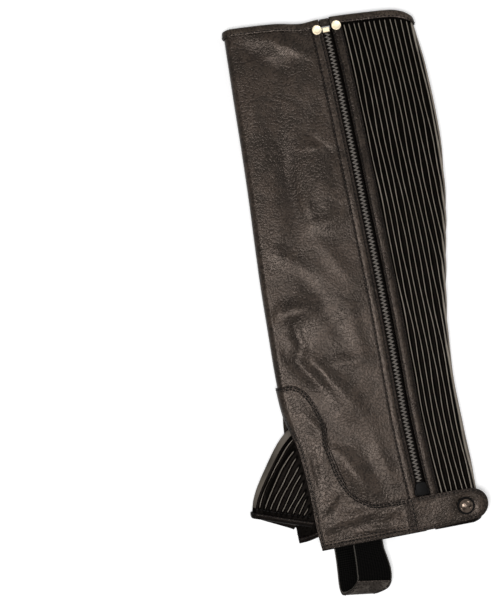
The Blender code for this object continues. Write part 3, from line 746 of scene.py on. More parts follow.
def shell(name: str, skins: Sequence[Skin], wall: float, offset: float = 0.0,
          rounding: float = 0.3) -> Object:
    """Makes the thin shell of a cut piece; skins that share an edge are joined.

    Args:
        name: name of the object.
        skins: its patches.
        wall: thickness.
        offset: 0 where the skins are the wall's middle, -1 where they are its outer face.
        rounding: radius of its cut edges, 0 for none.

    Returns:
        The object, with the marks of its skins and the distance from the nearest cut edge as attributes.
    """
    rim = np.concatenate([skin.rim_points() for skin in skins])
    tree = nearest(rim)
    shape = bmesh.new()
    layers = {key: shape.verts.layers.float.new(key) for key in ("edge", "across", "along", "crest")}
    for skin in skins:
        across, up = len(skin.columns) - 1, len(skin.rows) - 1
        grid = bmesh.ops.create_grid(shape, x_segments=across, y_segments=up, size=0.5)["verts"]
        a = skin.columns[[round((vertex.co.x + 0.5) * across) for vertex in grid]]
        r = skin.rows[[round((vertex.co.y + 0.5) * up) for vertex in grid]]
        points, _ = skin.at(a, r)
        marks = skin.marks(a, r)
        for k, vertex in enumerate(grid):
            vertex[layers["edge"]] = min(tree.find(points[k])[2], FAR) if len(rim) else FAR
            for key, values in marks.items():
                vertex[layers[key]] = values[k]
            vertex.co = (points[k] - ORIGIN) * MM
        if faces_inward(skin):
            bmesh.ops.reverse_faces(shape, faces=list({face for vertex in grid for face in vertex.link_faces}))
    bmesh.ops.remove_doubles(shape, verts=shape.verts, dist=WELD)
    obj = new_object(name, shape)
    thick = obj.modifiers.new("wall", "SOLIDIFY")
    thick.thickness, thick.offset, thick.material_offset = wall * MM, offset, 1
    if rounding:
        soften(obj, rounding, 2, 62)
    return obj


def repeated(name: str, unit_shape: bmesh.types.BMesh, places: Sequence[Matrix]) -> Object:
    """Joins copies of one small shape in one mesh.

    Args:
        name: name of the object.
        unit_shape: the small shape, which becomes the object.
        places: a matrix for each copy, in metres.

    Returns:
        The object.
    """
    copy = unit_shape.verts.layers.int.new("copy")
    made, wanted = 1, len(places)
    while made < wanted:
        chosen = [vertex for vertex in unit_shape.verts if vertex[copy] < wanted - made]
        faces = list({face for vertex in chosen for face in vertex.link_faces})
        new = bmesh.ops.duplicate(unit_shape, geom=chosen + faces)["geom"]
        for vertex in (item for item in new if isinstance(item, bmesh.types.BMVert)):
            vertex[copy] += made
        made += min(made, wanted - made)
    for vertex in unit_shape.verts:
        vertex.co = places[vertex[copy]] @ vertex.co
        vertex.co.z = max(vertex.co.z, 0.0)  # pressed flat on what the chap lies on
    return new_object(name, unit_shape)


def placed(point: Array, along: Array, outward: Array, size: Array) -> Matrix:
    """Matrix of a copy.

    Args:
        point: its middle, in millimetres.
        along: direction of its length.
        outward: direction of its height, made square to it.
        size: its length, width and height in millimetres.

    Returns:
        The matrix, in metres of the frame.
    """
    along = unit(along)
    outward = unit(outward - along * float(np.dot(outward, along)))
    axes = [along * size[0], np.cross(outward, along) * size[1], outward * size[2]]
    rows = [[*(axis[k] * MM for axis in axes), (point[k] - ORIGIN[k]) * MM] for k in range(3)]
    return Matrix([*rows, [0, 0, 0, 1]])


@dataclass(frozen=True)
class Thread:
    """Bonded polyester thread, lockstitched: rounded grains that sink a little into the hide."""

    size: tuple[float, float, float] = (2.45, 1.0, 0.7)
    pitch: float = 3.2

    def places(self, seam: Seam) -> list[Matrix]:
        """Where the stitches of a seam lie.

        Args:
            seam: the seam.

        Returns:
            A matrix for each stitch.
        """
        points, outward = seam.path()
        length = np.concatenate([[0.0], np.cumsum(np.linalg.norm(np.diff(points, axis=0), axis=1))])
        count = max(1, int(length[-1] / self.pitch))
        at = (np.arange(count) + 0.5) * length[-1] / count
        along = np.gradient(points, axis=0)
        point, along, outward = (
            np.stack([np.interp(at, length, values[:, k]) for k in range(3)], -1)
            for values in (points, along, outward)
        )
        return [placed(point[k], along[k], outward[k], np.array(self.size)) for k in range(count)]


# ---- finishes
def linear(colour: str) -> tuple[float, float, float, float]:
    """The linear colour of an sRGB hex colour."""
    parts = [int(colour[k : k + 2], 16) / 255 for k in (1, 3, 5)]
    return (*[c / 12.92 if c <= 0.04045 else ((c + 0.055) / 1.055) ** 2.4 for c in parts], 1.0)


def add_node(tree: Tree, kind: str, inputs: dict[str | int, object] | None = None,
             output: str | int = 0, **settings: object) -> Socket | None:
    """Adds a node with its settings and links.

    Args:
        tree: the node tree.
        kind: type of the node, without the leading ShaderNode.
        inputs: for each socket a value, an sRGB hex colour or the socket that feeds it.
        output: which output is wanted.
        **settings: properties of the node.

    Returns:
        The output socket, or none where the node has no outputs.
    """
    node = tree.nodes.new(f"ShaderNode{kind}")
    for name, value in settings.items():
        setattr(node, name, value)
    for name, value in (inputs or {}).items():
        if isinstance(value, Socket):
            tree.links.new(value, node.inputs[name])
        else:
            node.inputs[name].default_value = linear(value) if isinstance(value, str) else value
    return node.outputs[output] if node.outputs else None


# sockets by number: Map Range has its value at 0, the old range at 1 and 2 and the new one at 3 and 4;
# Mix has its factor at 0 and the two colours at 6 and 7, and gives the mixed one at 2
SMOOTH: dict[str, object] = {"interpolation_type": "SMOOTHSTEP"}
COLOURS: dict[str, object] = {"data_type": "RGBA"}
SHADOW = "#010101"  # between two tucks
STITCH_ROW_SHADE = "#0B0908"  # painted shade along a row of stitches
INKED_EDGE_AND_SHADE = "#060404"  # inked black, and painted shade along the step of each cut edge


@dataclass(frozen=True)
class Leather:
    """Full-grain cowhide, dyed near black and glazed: fine pebbles, a soft sheen and cloudy brown light."""

    name: str
    hide: str = "#1F1B17"
    # painted shade: the colour of troughs and of the crevices between pebbles
    valley: str = "#040303"
    worn: str = "#352D27"
    roughness: float = 0.27
    gloss: float = 0.19
    pebble: float = 1.7  # real ones are about 1.2, drawn coarser so that they show
    grain: float = 0.12
    wrinkles: float = 0.32
    cloud: float = 30.0
    rows: tuple[float, ...] = ()
    tucked: bool = False

    def inputs(self, tree: Tree) -> dict[str, object]:
        """Builds colour, roughness and grain.

        Args:
            tree: the node tree.

        Returns:
            Inputs of the shader.
        """
        place = add_node(tree, "TexCoord", output="Object")
        cells = add_node(tree, "TexNoise", {"Vector": place, "Scale": 1 / (self.pebble * MM), "Detail": 1.0,
                                            "Roughness": 0.4, "Distortion": 0.1})
        clouds = add_node(tree, "TexNoise", {"Vector": place, "Scale": 1 / (self.cloud * MM), "Detail": 3.0})
        wrinkle = add_node(tree, "TexNoise", {"Vector": place, "Scale": 1 / (11.0 * MM), "Detail": 1.0,
                                              "Roughness": 0.45, "Distortion": 0.3})
        pebbles = add_node(tree, "MapRange", {0: cells, 1: 0.34, 2: 0.6}, **SMOOTH)
        grain = add_node(tree, "Math", {0: pebbles, 1: self.grain}, operation="MULTIPLY")
        swells = add_node(tree, "Math", {0: wrinkle, 1: self.wrinkles}, operation="MULTIPLY")
        height = add_node(tree, "Math", {0: grain, 1: swells}, operation="ADD")
        edge = add_node(tree, "Attribute", output="Fac", attribute_name="edge")
        sewn = self.grooves(tree, edge)
        drawn_in = add_node(tree, "Math", {0: sewn, 1: 0.4}, operation="MULTIPLY")
        height = add_node(tree, "Math", {0: height, 1: drawn_in}, operation="SUBTRACT")
        wear = add_node(tree, "Math", {0: clouds, 1: wrinkle}, operation="ADD")
        wear = add_node(tree, "MapRange", {0: wear, 1: 0.8, 2: 1.25}, **SMOOTH)
        colour = add_node(tree, "Mix", {0: wear, 6: self.hide, 7: self.worn}, 2, **COLOURS)
        crest = add_node(tree, "Attribute", output="Fac", attribute_name="crest")
        # brown on rubbed ridges is wear; black in troughs and between pebbles is painted shade; tucks are only
        # dark between them
        tones = [(crest, 0.1, 0.8, 0.5, self.worn), (crest, -0.05, -0.6, 0.6, self.valley),
                 (pebbles, 0.7, 0.1, 0.75, self.valley)]
        # tucks: painted shade between them, over a pale hide that stands for the highlight on their crests
        if self.tucked:
            tones = [(crest, 0.96, 0.62, 0.995, SHADOW)]
        shares = [(add_node(tree, "MapRange", {0: value, 1: start, 2: end, 4: most}, **SMOOTH), tone)
                  for value, start, end, most, tone in tones]
        # painted shade along stitched rows; edge ink with painted shade along cut edges
        shares += [(add_node(tree, "Math", {0: sewn, 1: 0.6}, operation="MULTIPLY"), STITCH_ROW_SHADE),
                   (add_node(tree, "MapRange", {0: edge, 1: 1.2, 2: 0.4, 4: 0.9}, **SMOOTH), INKED_EDGE_AND_SHADE)]
        for share, tone in shares:
            colour = add_node(tree, "Mix", {0: share, 6: colour, 7: tone}, 2, **COLOURS)
        bump = add_node(tree, "Bump", {"Height": height, "Distance": MM, "Strength": 1.0})
        least, most = self.roughness - 0.03, self.roughness + 0.03
        rough = add_node(tree, "MapRange", {0: clouds, 1: 0.3, 2: 0.7, 3: least, 4: most}, **SMOOTH)
        return {"Base Color": colour, "Roughness": rough, "Normal": bump, "Specular IOR Level": self.gloss,
                "Specular Tint": "#FFE9DA"}

    def grooves(self, tree: Tree, edge: Socket) -> Socket:
        """1 along the stitched rows, which lie at set distances from the cut edge.

        Args:
            tree: the node tree.
            edge: distance from the cut edge.

        Returns:
            The output socket.
        """
        total: Socket | None = None
        for row in self.rows:
            off = add_node(tree, "Math", {0: edge, 1: row}, operation="SUBTRACT")
            off = add_node(tree, "Math", {0: off}, operation="ABSOLUTE")
            groove = add_node(tree, "MapRange", {0: off, 1: 0.75, 2: 0.2}, **SMOOTH)
            total = add_node(tree, "Math", {0: total, 1: groove}, operation="MAXIMUM") if total else groove
        return total or add_node(tree, "Math", {0: edge, 1: 0.0}, operation="MULTIPLY")


@dataclass(frozen=True)
class Weave:
    """Woven polyester, matt and close: fine ribs that follow the piece."""

    name: str
    thread: str
    gap: str
    pitch: float
    roughness: float = 0.85
    twill: float = 1.0
    selvedge: float = 0.0

    def inputs(self, tree: Tree) -> dict[str, object]:
        """Builds the weave.

        Args:
            tree: the node tree.

        Returns:
            Inputs of the shader.
        """
        across = add_node(tree, "Attribute", output="Fac", attribute_name="across")
        along = add_node(tree, "Attribute", output="Fac", attribute_name="along")
        turn = 2 * math.pi / self.pitch
        sideways = add_node(tree, "Math", {0: across, 1: turn * self.twill}, operation="MULTIPLY")
        onward = add_node(tree, "Math", {0: along, 1: turn}, operation="MULTIPLY")
        lean = add_node(tree, "Math", {0: sideways, 1: onward}, operation="ADD")
        level = add_node(tree, "Math", {0: across, 1: turn * 0.9}, operation="MULTIPLY")
        place = add_node(tree, "TexCoord", output="Object")
        height = add_node(tree, "TexNoise", {"Vector": place, "Scale": 1 / (0.9 * MM), "Detail": 2.0})
        for angle, rise in ((lean, 0.35), (level, 0.25)):
            rib = add_node(tree, "Math", {0: angle}, operation="SINE")
            rib = add_node(tree, "Math", {0: rib, 1: rise}, operation="MULTIPLY")
            height = add_node(tree, "Math", {0: height, 1: rib}, operation="ADD")
        on_top = add_node(tree, "MapRange", {0: height, 2: 1.1}, **SMOOTH)
        colour = add_node(tree, "Mix", {0: on_top, 6: self.gap, 7: self.thread}, 2, **COLOURS)
        if self.selvedge:
            edge = add_node(tree, "Attribute", output="Fac", attribute_name="edge")
            share = add_node(tree, "MapRange", {0: edge, 1: 1.3, 2: 0.5, 4: self.selvedge}, **SMOOTH)
            colour = add_node(tree, "Mix", {0: share, 6: colour, 7: "#57534E"}, 2, **COLOURS)
        bump = add_node(tree, "Bump", {"Height": height, "Distance": 0.12 * MM, "Strength": 0.8})
        return {"Base Color": colour, "Roughness": self.roughness, "Normal": bump, "Specular IOR Level": 0.02}


@dataclass(frozen=True)
class Hard:
    """A plated, enamelled or moulded fitting, with a little handling wear."""

    name: str
    colour: str
    worn: str
    roughness: float
    metallic: float = 1.0
    gloss: float = 0.5

    def inputs(self, tree: Tree) -> dict[str, object]:
        """Builds colour, wear and fine scratches.

        Args:
            tree: the node tree.

        Returns:
            Inputs of the shader.
        """
        place = add_node(tree, "TexCoord", output="Object")
        patches = add_node(tree, "TexNoise", {"Vector": place, "Scale": 1 / (3.0 * MM), "Detail": 3.0})
        fine = add_node(tree, "TexNoise", {"Vector": place, "Scale": 1 / (0.4 * MM), "Detail": 1.0})
        wear = add_node(tree, "MapRange", {0: patches, 1: 0.45, 2: 0.75}, **SMOOTH)
        colour = add_node(tree, "Mix", {0: wear, 6: self.colour, 7: self.worn}, 2, **COLOURS)
        rough = {0: patches, 1: 0.3, 2: 0.75, 3: self.roughness, 4: self.roughness + 0.12}
        rough = add_node(tree, "MapRange", rough, **SMOOTH)
        bump = add_node(tree, "Bump", {"Height": fine, "Distance": 0.01 * MM, "Strength": 0.5})
        return {"Base Color": colour, "Roughness": rough, "Normal": bump, "Metallic": self.metallic,
                "Specular IOR Level": self.gloss}


# ---- pieces
class Held(Enum):
    """How a sheet is held."""

    LAID = "laid"
    FOLDED = "folded"
    STRETCHED = "stretched"


class Cut(NamedTuple):
    """Flat size of a cut piece, the share of that rectangle that it fills, and the trims sewn to it."""

    width: float
    length: float
    share: float
    held: Held
    rests_on: tuple[str, ...]
    trims: tuple[str, ...] = ()


Finish = Leather | Weave | Hard


@dataclass
class Piece:
    """An object, its finish and slot, the plain solid that it stands for and, on a sheet, its cut."""

    obj: Object
    finish: Finish
    slot: str
    node: str = ""
    cut: Cut | None = None


@cache
def material_of(finish: Finish) -> bpy.types.Material:
    """Makes the material of a finish, once.

    Args:
        finish: the finish, which gives the inputs of the Principled shader.

    Returns:
        The material.
    """
    material = bpy.data.materials.new(finish.name)
    material.use_nodes = True
    tree = material.node_tree
    tree.nodes.clear()
    shader = add_node(tree, "BsdfPrincipled", finish.inputs(tree))
    add_node(tree, "OutputMaterial", {"Surface": shader})
    return material


@dataclass
class Assembly:
    """A group of pieces that a maker would sew or rivet together."""

    leg: Leg
    thread: Thread = Thread()
    pieces: list[Piece] = field(default_factory=list)
    kept: list[tuple[str, Hard]] = field(default_factory=list)

    def build(self) -> None:
        """Makes the meshes."""
        raise NotImplementedError

    def add(self, obj: Object, finish: Finish, slot: str, node: str = "", cut: Cut | None = None) -> None:
        """Keeps an object for dressing; it may stand for a plain solid, and a sheet has its flat cut."""
        self.pieces.append(Piece(obj, finish, slot, node, cut))

    def sew(self, name: str, seams: Sequence[Seam], slot: str) -> None:
        """Makes the stitches of some seams in one mesh and keeps them.

        Args:
            name: name of the object.
            seams: the seams.
            slot: its slot.
        """
        grain = bmesh.new()
        bmesh.ops.create_uvsphere(grain, u_segments=6, v_segments=4, radius=0.5)
        places = [place for seam in seams for place in self.thread.places(seam)]
        self.add(repeated(name, grain, places), SEWING_THREAD, slot)

    def dress(self) -> None:
        for piece in self.pieces:
            piece.obj.data.materials.clear()
            piece.obj.data.materials.append(material_of(piece.finish))
            if isinstance(piece.finish, Leather) and piece.cut:
                piece.obj.data.materials.append(material_of(FLESH_SIDE))
            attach(piece.obj, "root")
            if piece.node:
                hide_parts(piece.node)
            log.info("%s: %s, %d faces", piece.obj.name, piece.finish.name, len(piece.obj.data.polygons))
        for node, finish in self.kept:
            for material_slot in bpy.data.objects[node].material_slots:
                material_slot.material = material_of(finish)
            log.info("%s: %s", node, finish.name)


# a satin sheen that breaks up over fine pebbles, brown where it is rubbed, with painted shade in troughs and
# between pebbles
GLAZED_HIDE = Leather("glazed_cowhide")
# the same, a little coarser, drawn in, with painted shade, along two rows of stitches
EDGED_HIDE = Leather("glazed_cowhide_sewn_twice", rows=(1.4, 3.2), pebble=1.9, grain=0.16)
# narrow strips that swell between their stitches and catch the light along their middle, with painted shade along
# their stitched rows
STRIP_HIDE = Leather("glazed_cowhide_strip", rows=(1.3,), pebble=1.8)
# the strip that turns from the light: a darker hide as painted shade, and duller
SHADED_HIDE = replace(STRIP_HIDE, name="glazed_cowhide_rear_strip", hide="#15120F", worn="#28221D", gloss=0.13)
# thin and pulled tight round an edge: smoother, with short wrinkles, its dye rubbed to brown
BINDING_HIDE = Leather("binding_calfskin", hide="#2C2620", worn="#3F3730", pebble=1.6, grain=0.08, wrinkles=0.5)
# matt black piping round the hem
HEM_HIDE = Leather("hem_binding_calfskin", hide="#060505", worn="#0C0A09", gloss=0.05, grain=0.06, wrinkles=0.3)
# soft tucks: a pale grey hide that paints a highlight on their crests, with painted shade in the black valleys
# between them
TUCKED_HIDE = Leather("tucked_nappa", hide="#7F776D", worn="#8D857B", gloss=0.01, pebble=1.6, grain=0.03,
                      wrinkles=0.3, tucked=True)
# the same tucks, on the gusset
GUSSET_HIDE = replace(TUCKED_HIDE, name="gusset_nappa")
# scuffed underfoot: greyer and smoother than the rest
SOLE_HIDE = Leather("stirrup_sole_leather", hide="#24211E", worn="#47423D", gloss=0.2, pebble=1.6, grain=0.05,
                    wrinkles=0.4)
# the bare inner face of the hide: black, fibrous and without shine
FLESH_SIDE = Leather("dyed_flesh_side", hide="#0A0908", worn="#12100E", roughness=0.8, gloss=0.02, grain=0.1)
# the main hide again, drawn in, with painted shade, along its own row of stitches
PATCH_HIDE = Leather("stirrup_patch_leather", rows=(2.0,))
# herringbone tape, charcoal and matt
ZIP_TAPE = Weave("zip_tape_polyester", "#1C1917", "#070606", 1.1)
# a black line under the hem
FACING_WEB = Weave("black_hem_facing", "#100F0E", "#050404", 1.4)
# cross-ribbed and nearly black, with a paler selvedge
ELASTIC_WEB = Weave("black_woven_elastic", "#0F0E0D", "#010101", 1.7, twill=0.0, selvedge=0.6)
# moulded loops, grey where they catch the light
COIL_NYLON = Hard("zip_coil_nylon", "#67615B", "#7A746D", 0.3, metallic=0.0, gloss=0.3)
# sprayed and baked: soft black, hardly any shine
BLACK_ENAMEL = Hard("black_enamel", "#050404", "#0C0B0A", 0.4, metallic=0.0, gloss=0.05)
# pressed brass under clear lacquer: pale gold, satin
PALE_BRASS = Hard("lacquered_pale_brass", "#D9CBB0", "#C8B89A", 0.34)
# polished dark plate: brown-black with small bright lights
GUNMETAL = Hard("gunmetal_plating", "#544A42", "#1E1916", 0.1)
# bonded thread: black, slightly waxy
SEWING_THREAD = Hard("bonded_polyester_thread", "#060505", "#0E0C0B", 0.5, metallic=0.0, gloss=0.1)


# ---- main panel
RUB_AND_SHADE = 0.5  # wear on ridges and painted shade in troughs, for each millimetre that a crease rises or sinks


@dataclass
class MainPanel(Assembly):
    """The one large hide panel, from the zip over the shin and under the leg to the rear strip."""

    hem: float = -9.0
    roll_columns: int = 10
    outer_columns: int = 56
    inner_columns: int = 44
    row_count: int = 190

    def skins(self) -> list[Skin]:
        """The outer and the inner half.

        Returns:
            Both skins.
        """
        leg = self.leg
        slit = (leg.notch_v - leg.hem_v) / (leg.knee_v - leg.hem_v)
        rims = (Rim(Side.LOW), Rim(Side.HIGH), Rim(Side.RIGHT), Rim(Side.LEFT, 0.0, slit))
        rows = np.linspace(leg.hem_v, leg.knee_v, self.row_count)

        def half(spots_of: Callable[[Array, Array], Spots], creases: Sequence[Dent], columns: int) -> Skin:
            """One half of the panel.

            Args:
                spots_of: gives its places on the tube, by column and v.
                creases: its creases.
                columns: its steps across.

            Returns:
                Its skin.
            """
            return Skin(lambda a, r: spots_of(a, leg.fitted(r, self.hem, spots_of(a, r))).lifted(0.0),
                        over_fold(self.roll_columns, columns), rows, rims,
                        lambda a, r: {"crest": RUB_AND_SHADE * swell(creases, spots_of(a, r).u, r)})

        return [half(lambda a, v: leg.outer_half(a, v, leg.zip_gap), CREASES, self.outer_columns),
                half(leg.inner_half, UNDER_CREASES, self.inner_columns)]

    def build(self) -> None:
        """Makes the panel."""
        panel = shell("front_panel_hide", self.skins(), self.leg.wall)
        trims = ("zip_facing_front_hide", "hem_facing_web", "zip_cap_hide")
        cut = Cut(268, 448, 0.93, Held.FOLDED, ("rear_strip_hide",), trims)
        self.add(panel, GLAZED_HIDE, "black_leather", "main_panel", cut)


# ---- ankle piece and tab
@dataclass
class AnkleWrap(Assembly):
    """The scalloped overlay round the ankle, the snap tab that runs on from it, and the facing behind its hem."""

    hem: float = -15.5
    strip_width: float = 25.0
    strip_curve_v: float = 97.0
    tab_start: float = 8.0
    tab_round: float = 60.4
    tab_radius: float = 12.8
    tab_middle: float = -0.6
    tab_out: float = 3.7
    tab_droop: float = 1.6
    tab_straight: float = 0.6  # share of its columns before its round end
    tab_dimple: float = 0.7
    tab_ripple: float = 0.22
    facing_ends: tuple[float, float] = (-16.6, -9.3)
    facing_length: float = 88.0
    facing_sink: float = 0.2
    tab_top: Curve = Curve(((8, 13.5), (45, 13.2), (60.4, 12.2)))
    tab_bottom: Curve = Curve(((8, -15.5), (30, -15.2), (60.4, -13.4)))
    scallop: tuple[tuple[float, float], ...] = (
        (-72, 126.4), (-63, 121), (-56, 110), (-51, 95.5), (-50, 80), (-49, 62), (-45, 42), (-37, 26), (-26, 17),
        (-20, 14.6), (-8, 13.6), (7.7, 13.5),
    )

    def scallop_rail(self) -> tuple[Curve, Curve]:
        """The scallop as two curves of the share of its length: the distance past the shin fold, and v.

        Returns:
            The two curves.
        """
        points = [(0.0, self.leg.scallop_v)]
        points += [(u - float(self.leg.shin_fold(np.array(v)).u), v) for u, v in self.scallop]
        steps = [math.dist(before, after) for before, after in zip(points, points[1:])]
        shares = np.concatenate([[0.0], np.cumsum(steps)]) / sum(steps)
        past, up = curves(shares, points)
        return past, up

    def outer_at(self, a: Array, r: Array) -> Surface:
        """Points of the overlay over the shin fold and the outer wall.

        Args:
            a: -1 to 0 over the fold, 0 to 1 along the wall.
            r: level at the shin.

        Returns:
            Points and outward directions.
        """
        leg = self.leg
        past, up = self.scallop_rail()
        hem_length = self.tab_start - leg.gap - leg.shin_fold(np.array(self.hem)).u
        level = (r - self.hem) / (leg.scallop_v - self.hem)
        share = np.clip(a, 0, 1)
        v = mix(self.hem, up(share), level)
        u = leg.shin_fold(v).u + mix(share * hem_length, past(share), level)
        climb = (self.tab_out - leg.on_top) * ramp(u, -8.0, 3.0)
        fold = leg.shin_fold(r)
        rolled = fold.spots(leg.slit(r) * np.clip(-a, 0, 1), r, -1)
        return rolled.under_or(leg.outer(u, v), a <= 0).lifted(leg.on_top + np.where(a <= 0, 0, climb))

    def outer_marks(self, a: Array, r: Array) -> Marks:
        """Wear on the hide's ridges and painted shade in its troughs, from their heights."""
        points, _ = self.outer_at(a, r)
        return {"crest": RUB_AND_SHADE * swell(CREASES, points[:, 0], points[:, 1])}

    def inner_at(self, a: Array, r: Array) -> Surface:
        """Points of the strip underneath.

        Args:
            a: -1 to 0 over the fold, 0 to 1 across the strip.
            r: level at the shin.

        Returns:
            Points and outward directions.
        """
        leg = self.leg
        spots = leg.inner_half(np.minimum(a, 0), r)
        across = np.where(a > 0, leg.inner_front(r) + np.clip(a, 0, 1) * self.strip_width, spots.u)
        low = HEM_INNER(across) + leg.hem_band + 2 * leg.gap
        v = r + (low - self.hem) * (1 - ramp(r, self.hem, self.hem + 56))
        rolled = leg.inner_half(np.minimum(a, 0), v)
        start = leg.shin_fold(v, inner=True).u
        rise = np.maximum(0.0, r - self.strip_curve_v) / (leg.scallop_v - self.strip_curve_v)
        far = leg.inner_front(v) + leg.half + self.strip_width
        far = mix(start, far, np.sqrt(np.maximum(0.0, 1 - rise**2)))
        zero = v * 0
        lies_at = leg.trim / 2 + leg.on_top  # its own wall rests on the surface
        flat = Spots(mix(start, far, np.clip(a, 0, 1)), v, zero + lies_at, zero, zero - 1, zero + 1)
        return rolled.under_or(flat, a <= 0).lifted(leg.on_top)

    def tab_at(self, s: Array, t: Array) -> Surface:
        """Points of the tab.

        Args:
            s: from where it leaves the overlay to its round end.
            t: from its lower to its upper edge.

        Returns:
            Points and outward directions.
        """
        straight = self.tab_straight
        turn = math.pi / 2 * np.clip((s - straight) / (1 - straight), 0, 1)
        joined = self.tab_start - 1.4 * self.leg.gap  # its end is sewn edge to edge with the overlay
        u = np.where(s < straight, mix(joined, self.tab_round, s / straight),
                     self.tab_round + self.tab_radius * np.sin(turn))
        half = self.tab_radius * np.cos(turn)
        top = np.where(s < straight, self.tab_top(u), self.tab_middle + half)
        bottom = np.where(s < straight, self.tab_bottom(u), self.tab_middle - half)
        v = mix(bottom, top, t)
        droop = self.tab_droop * np.maximum(0.0, (u - self.tab_round) / self.tab_radius) ** 2
        apart = np.hypot(u - SNAP_SPOT[0], v - SNAP_SPOT[1])
        dimple = self.tab_dimple * ramp(apart, 11.8, 7.6)  # the stud draws it in
        ripple = self.tab_ripple * np.sin(u / 5.1) * np.sin(v / 6.3 + 0.7) * ramp(apart, 8.0, 14.0)
        return self.leg.outer(u, v).lifted(self.tab_out - droop - dimple + ripple)

    def build(self) -> None:
        """Makes the overlay, the tab and the facing, and sews them."""
        leg = self.leg
        rows = np.linspace(self.hem, leg.scallop_v, 96)
        slit = (leg.notch_v - self.hem) / (leg.scallop_v - self.hem)
        rims = (Rim(Side.LOW), Rim(Side.HIGH), Rim(Side.RIGHT), Rim(Side.LEFT, 0.0, slit))
        outer = Skin(self.outer_at, over_fold(8, 65), rows, rims, self.outer_marks)
        inner_rims = (Rim(Side.LOW), Rim(Side.RIGHT), Rim(Side.LEFT, 0.0, slit))
        inner = Skin(self.inner_at, over_fold(8, 16), rows, inner_rims)
        overlay = shell("ankle_overlay_hide", [outer, inner], leg.trim)
        cut = Cut(150, 142, 0.5, Held.FOLDED, ("front_panel_hide",))
        self.add(overlay, EDGED_HIDE, "ankle_leather", "ankle_piece", cut)

        tab_rims = (Rim(Side.LOW), Rim(Side.HIGH), Rim(Side.LEFT))
        straight = self.tab_straight
        tab_columns = np.concatenate([np.linspace(0, straight, 31)[:-1], np.linspace(straight, 1, 22)])
        tab_skin = Skin(self.tab_at, tab_columns, np.linspace(0, 1, 17), tab_rims)
        tab = shell("snap_tab_hide", [tab_skin], leg.trim)
        cut = Cut(65.5, 28.6, 0.95, Held.LAID, ("front_panel_hide",))
        self.add(tab, EDGED_HIDE, "ankle_leather", "snap_tab", cut)

        facing = Skin(lambda a, v: leg.outer_half(a, v, leg.zip_gap).lifted(-self.facing_sink),
                      np.linspace(0, 1, 60), np.linspace(*self.facing_ends, 6), (),
                      lambda a, v: {"across": v, "along": a * self.facing_length})
        web = shell("hem_facing_web", [facing], 1.0)
        self.add(web, FACING_WEB, "black_elastic", "hem_facing_front")

        top = leg.trim / 2
        seams = [
            Seam(outer, Side.HIGH, 1.5, 0.0, 1.0, top),
            Seam(outer, Side.HIGH, 3.2, 0.5, 1.0, top),
            Seam(outer, Side.LOW, 3.0, 0.5, 1.0, top),
            Seam(outer, Side.LOW, 5.8, 0.5, 1.0, top),
            Seam(outer, Side.LEFT, 2.5, 0.0, slit * 0.98, top),
            Seam(inner, Side.LEFT, 2.5, 0.0, slit * 0.98, top),
            Seam(inner, Side.RIGHT, 2.0, 0.0, 0.98, top),
            Seam(inner, Side.LOW, 2.2, 0.5, 0.98, top),
            Seam(tab_skin, Side.LEFT, 2.0, 0.03, 0.97, top),
            Seam(tab_skin, Side.HIGH, 1.8, 0.0, 0.98, top),
            Seam(tab_skin, Side.LOW, 1.8, 0.0, 0.98, top),
        ]
        self.sew("ankle_stitches", seams, "ankle_leather")


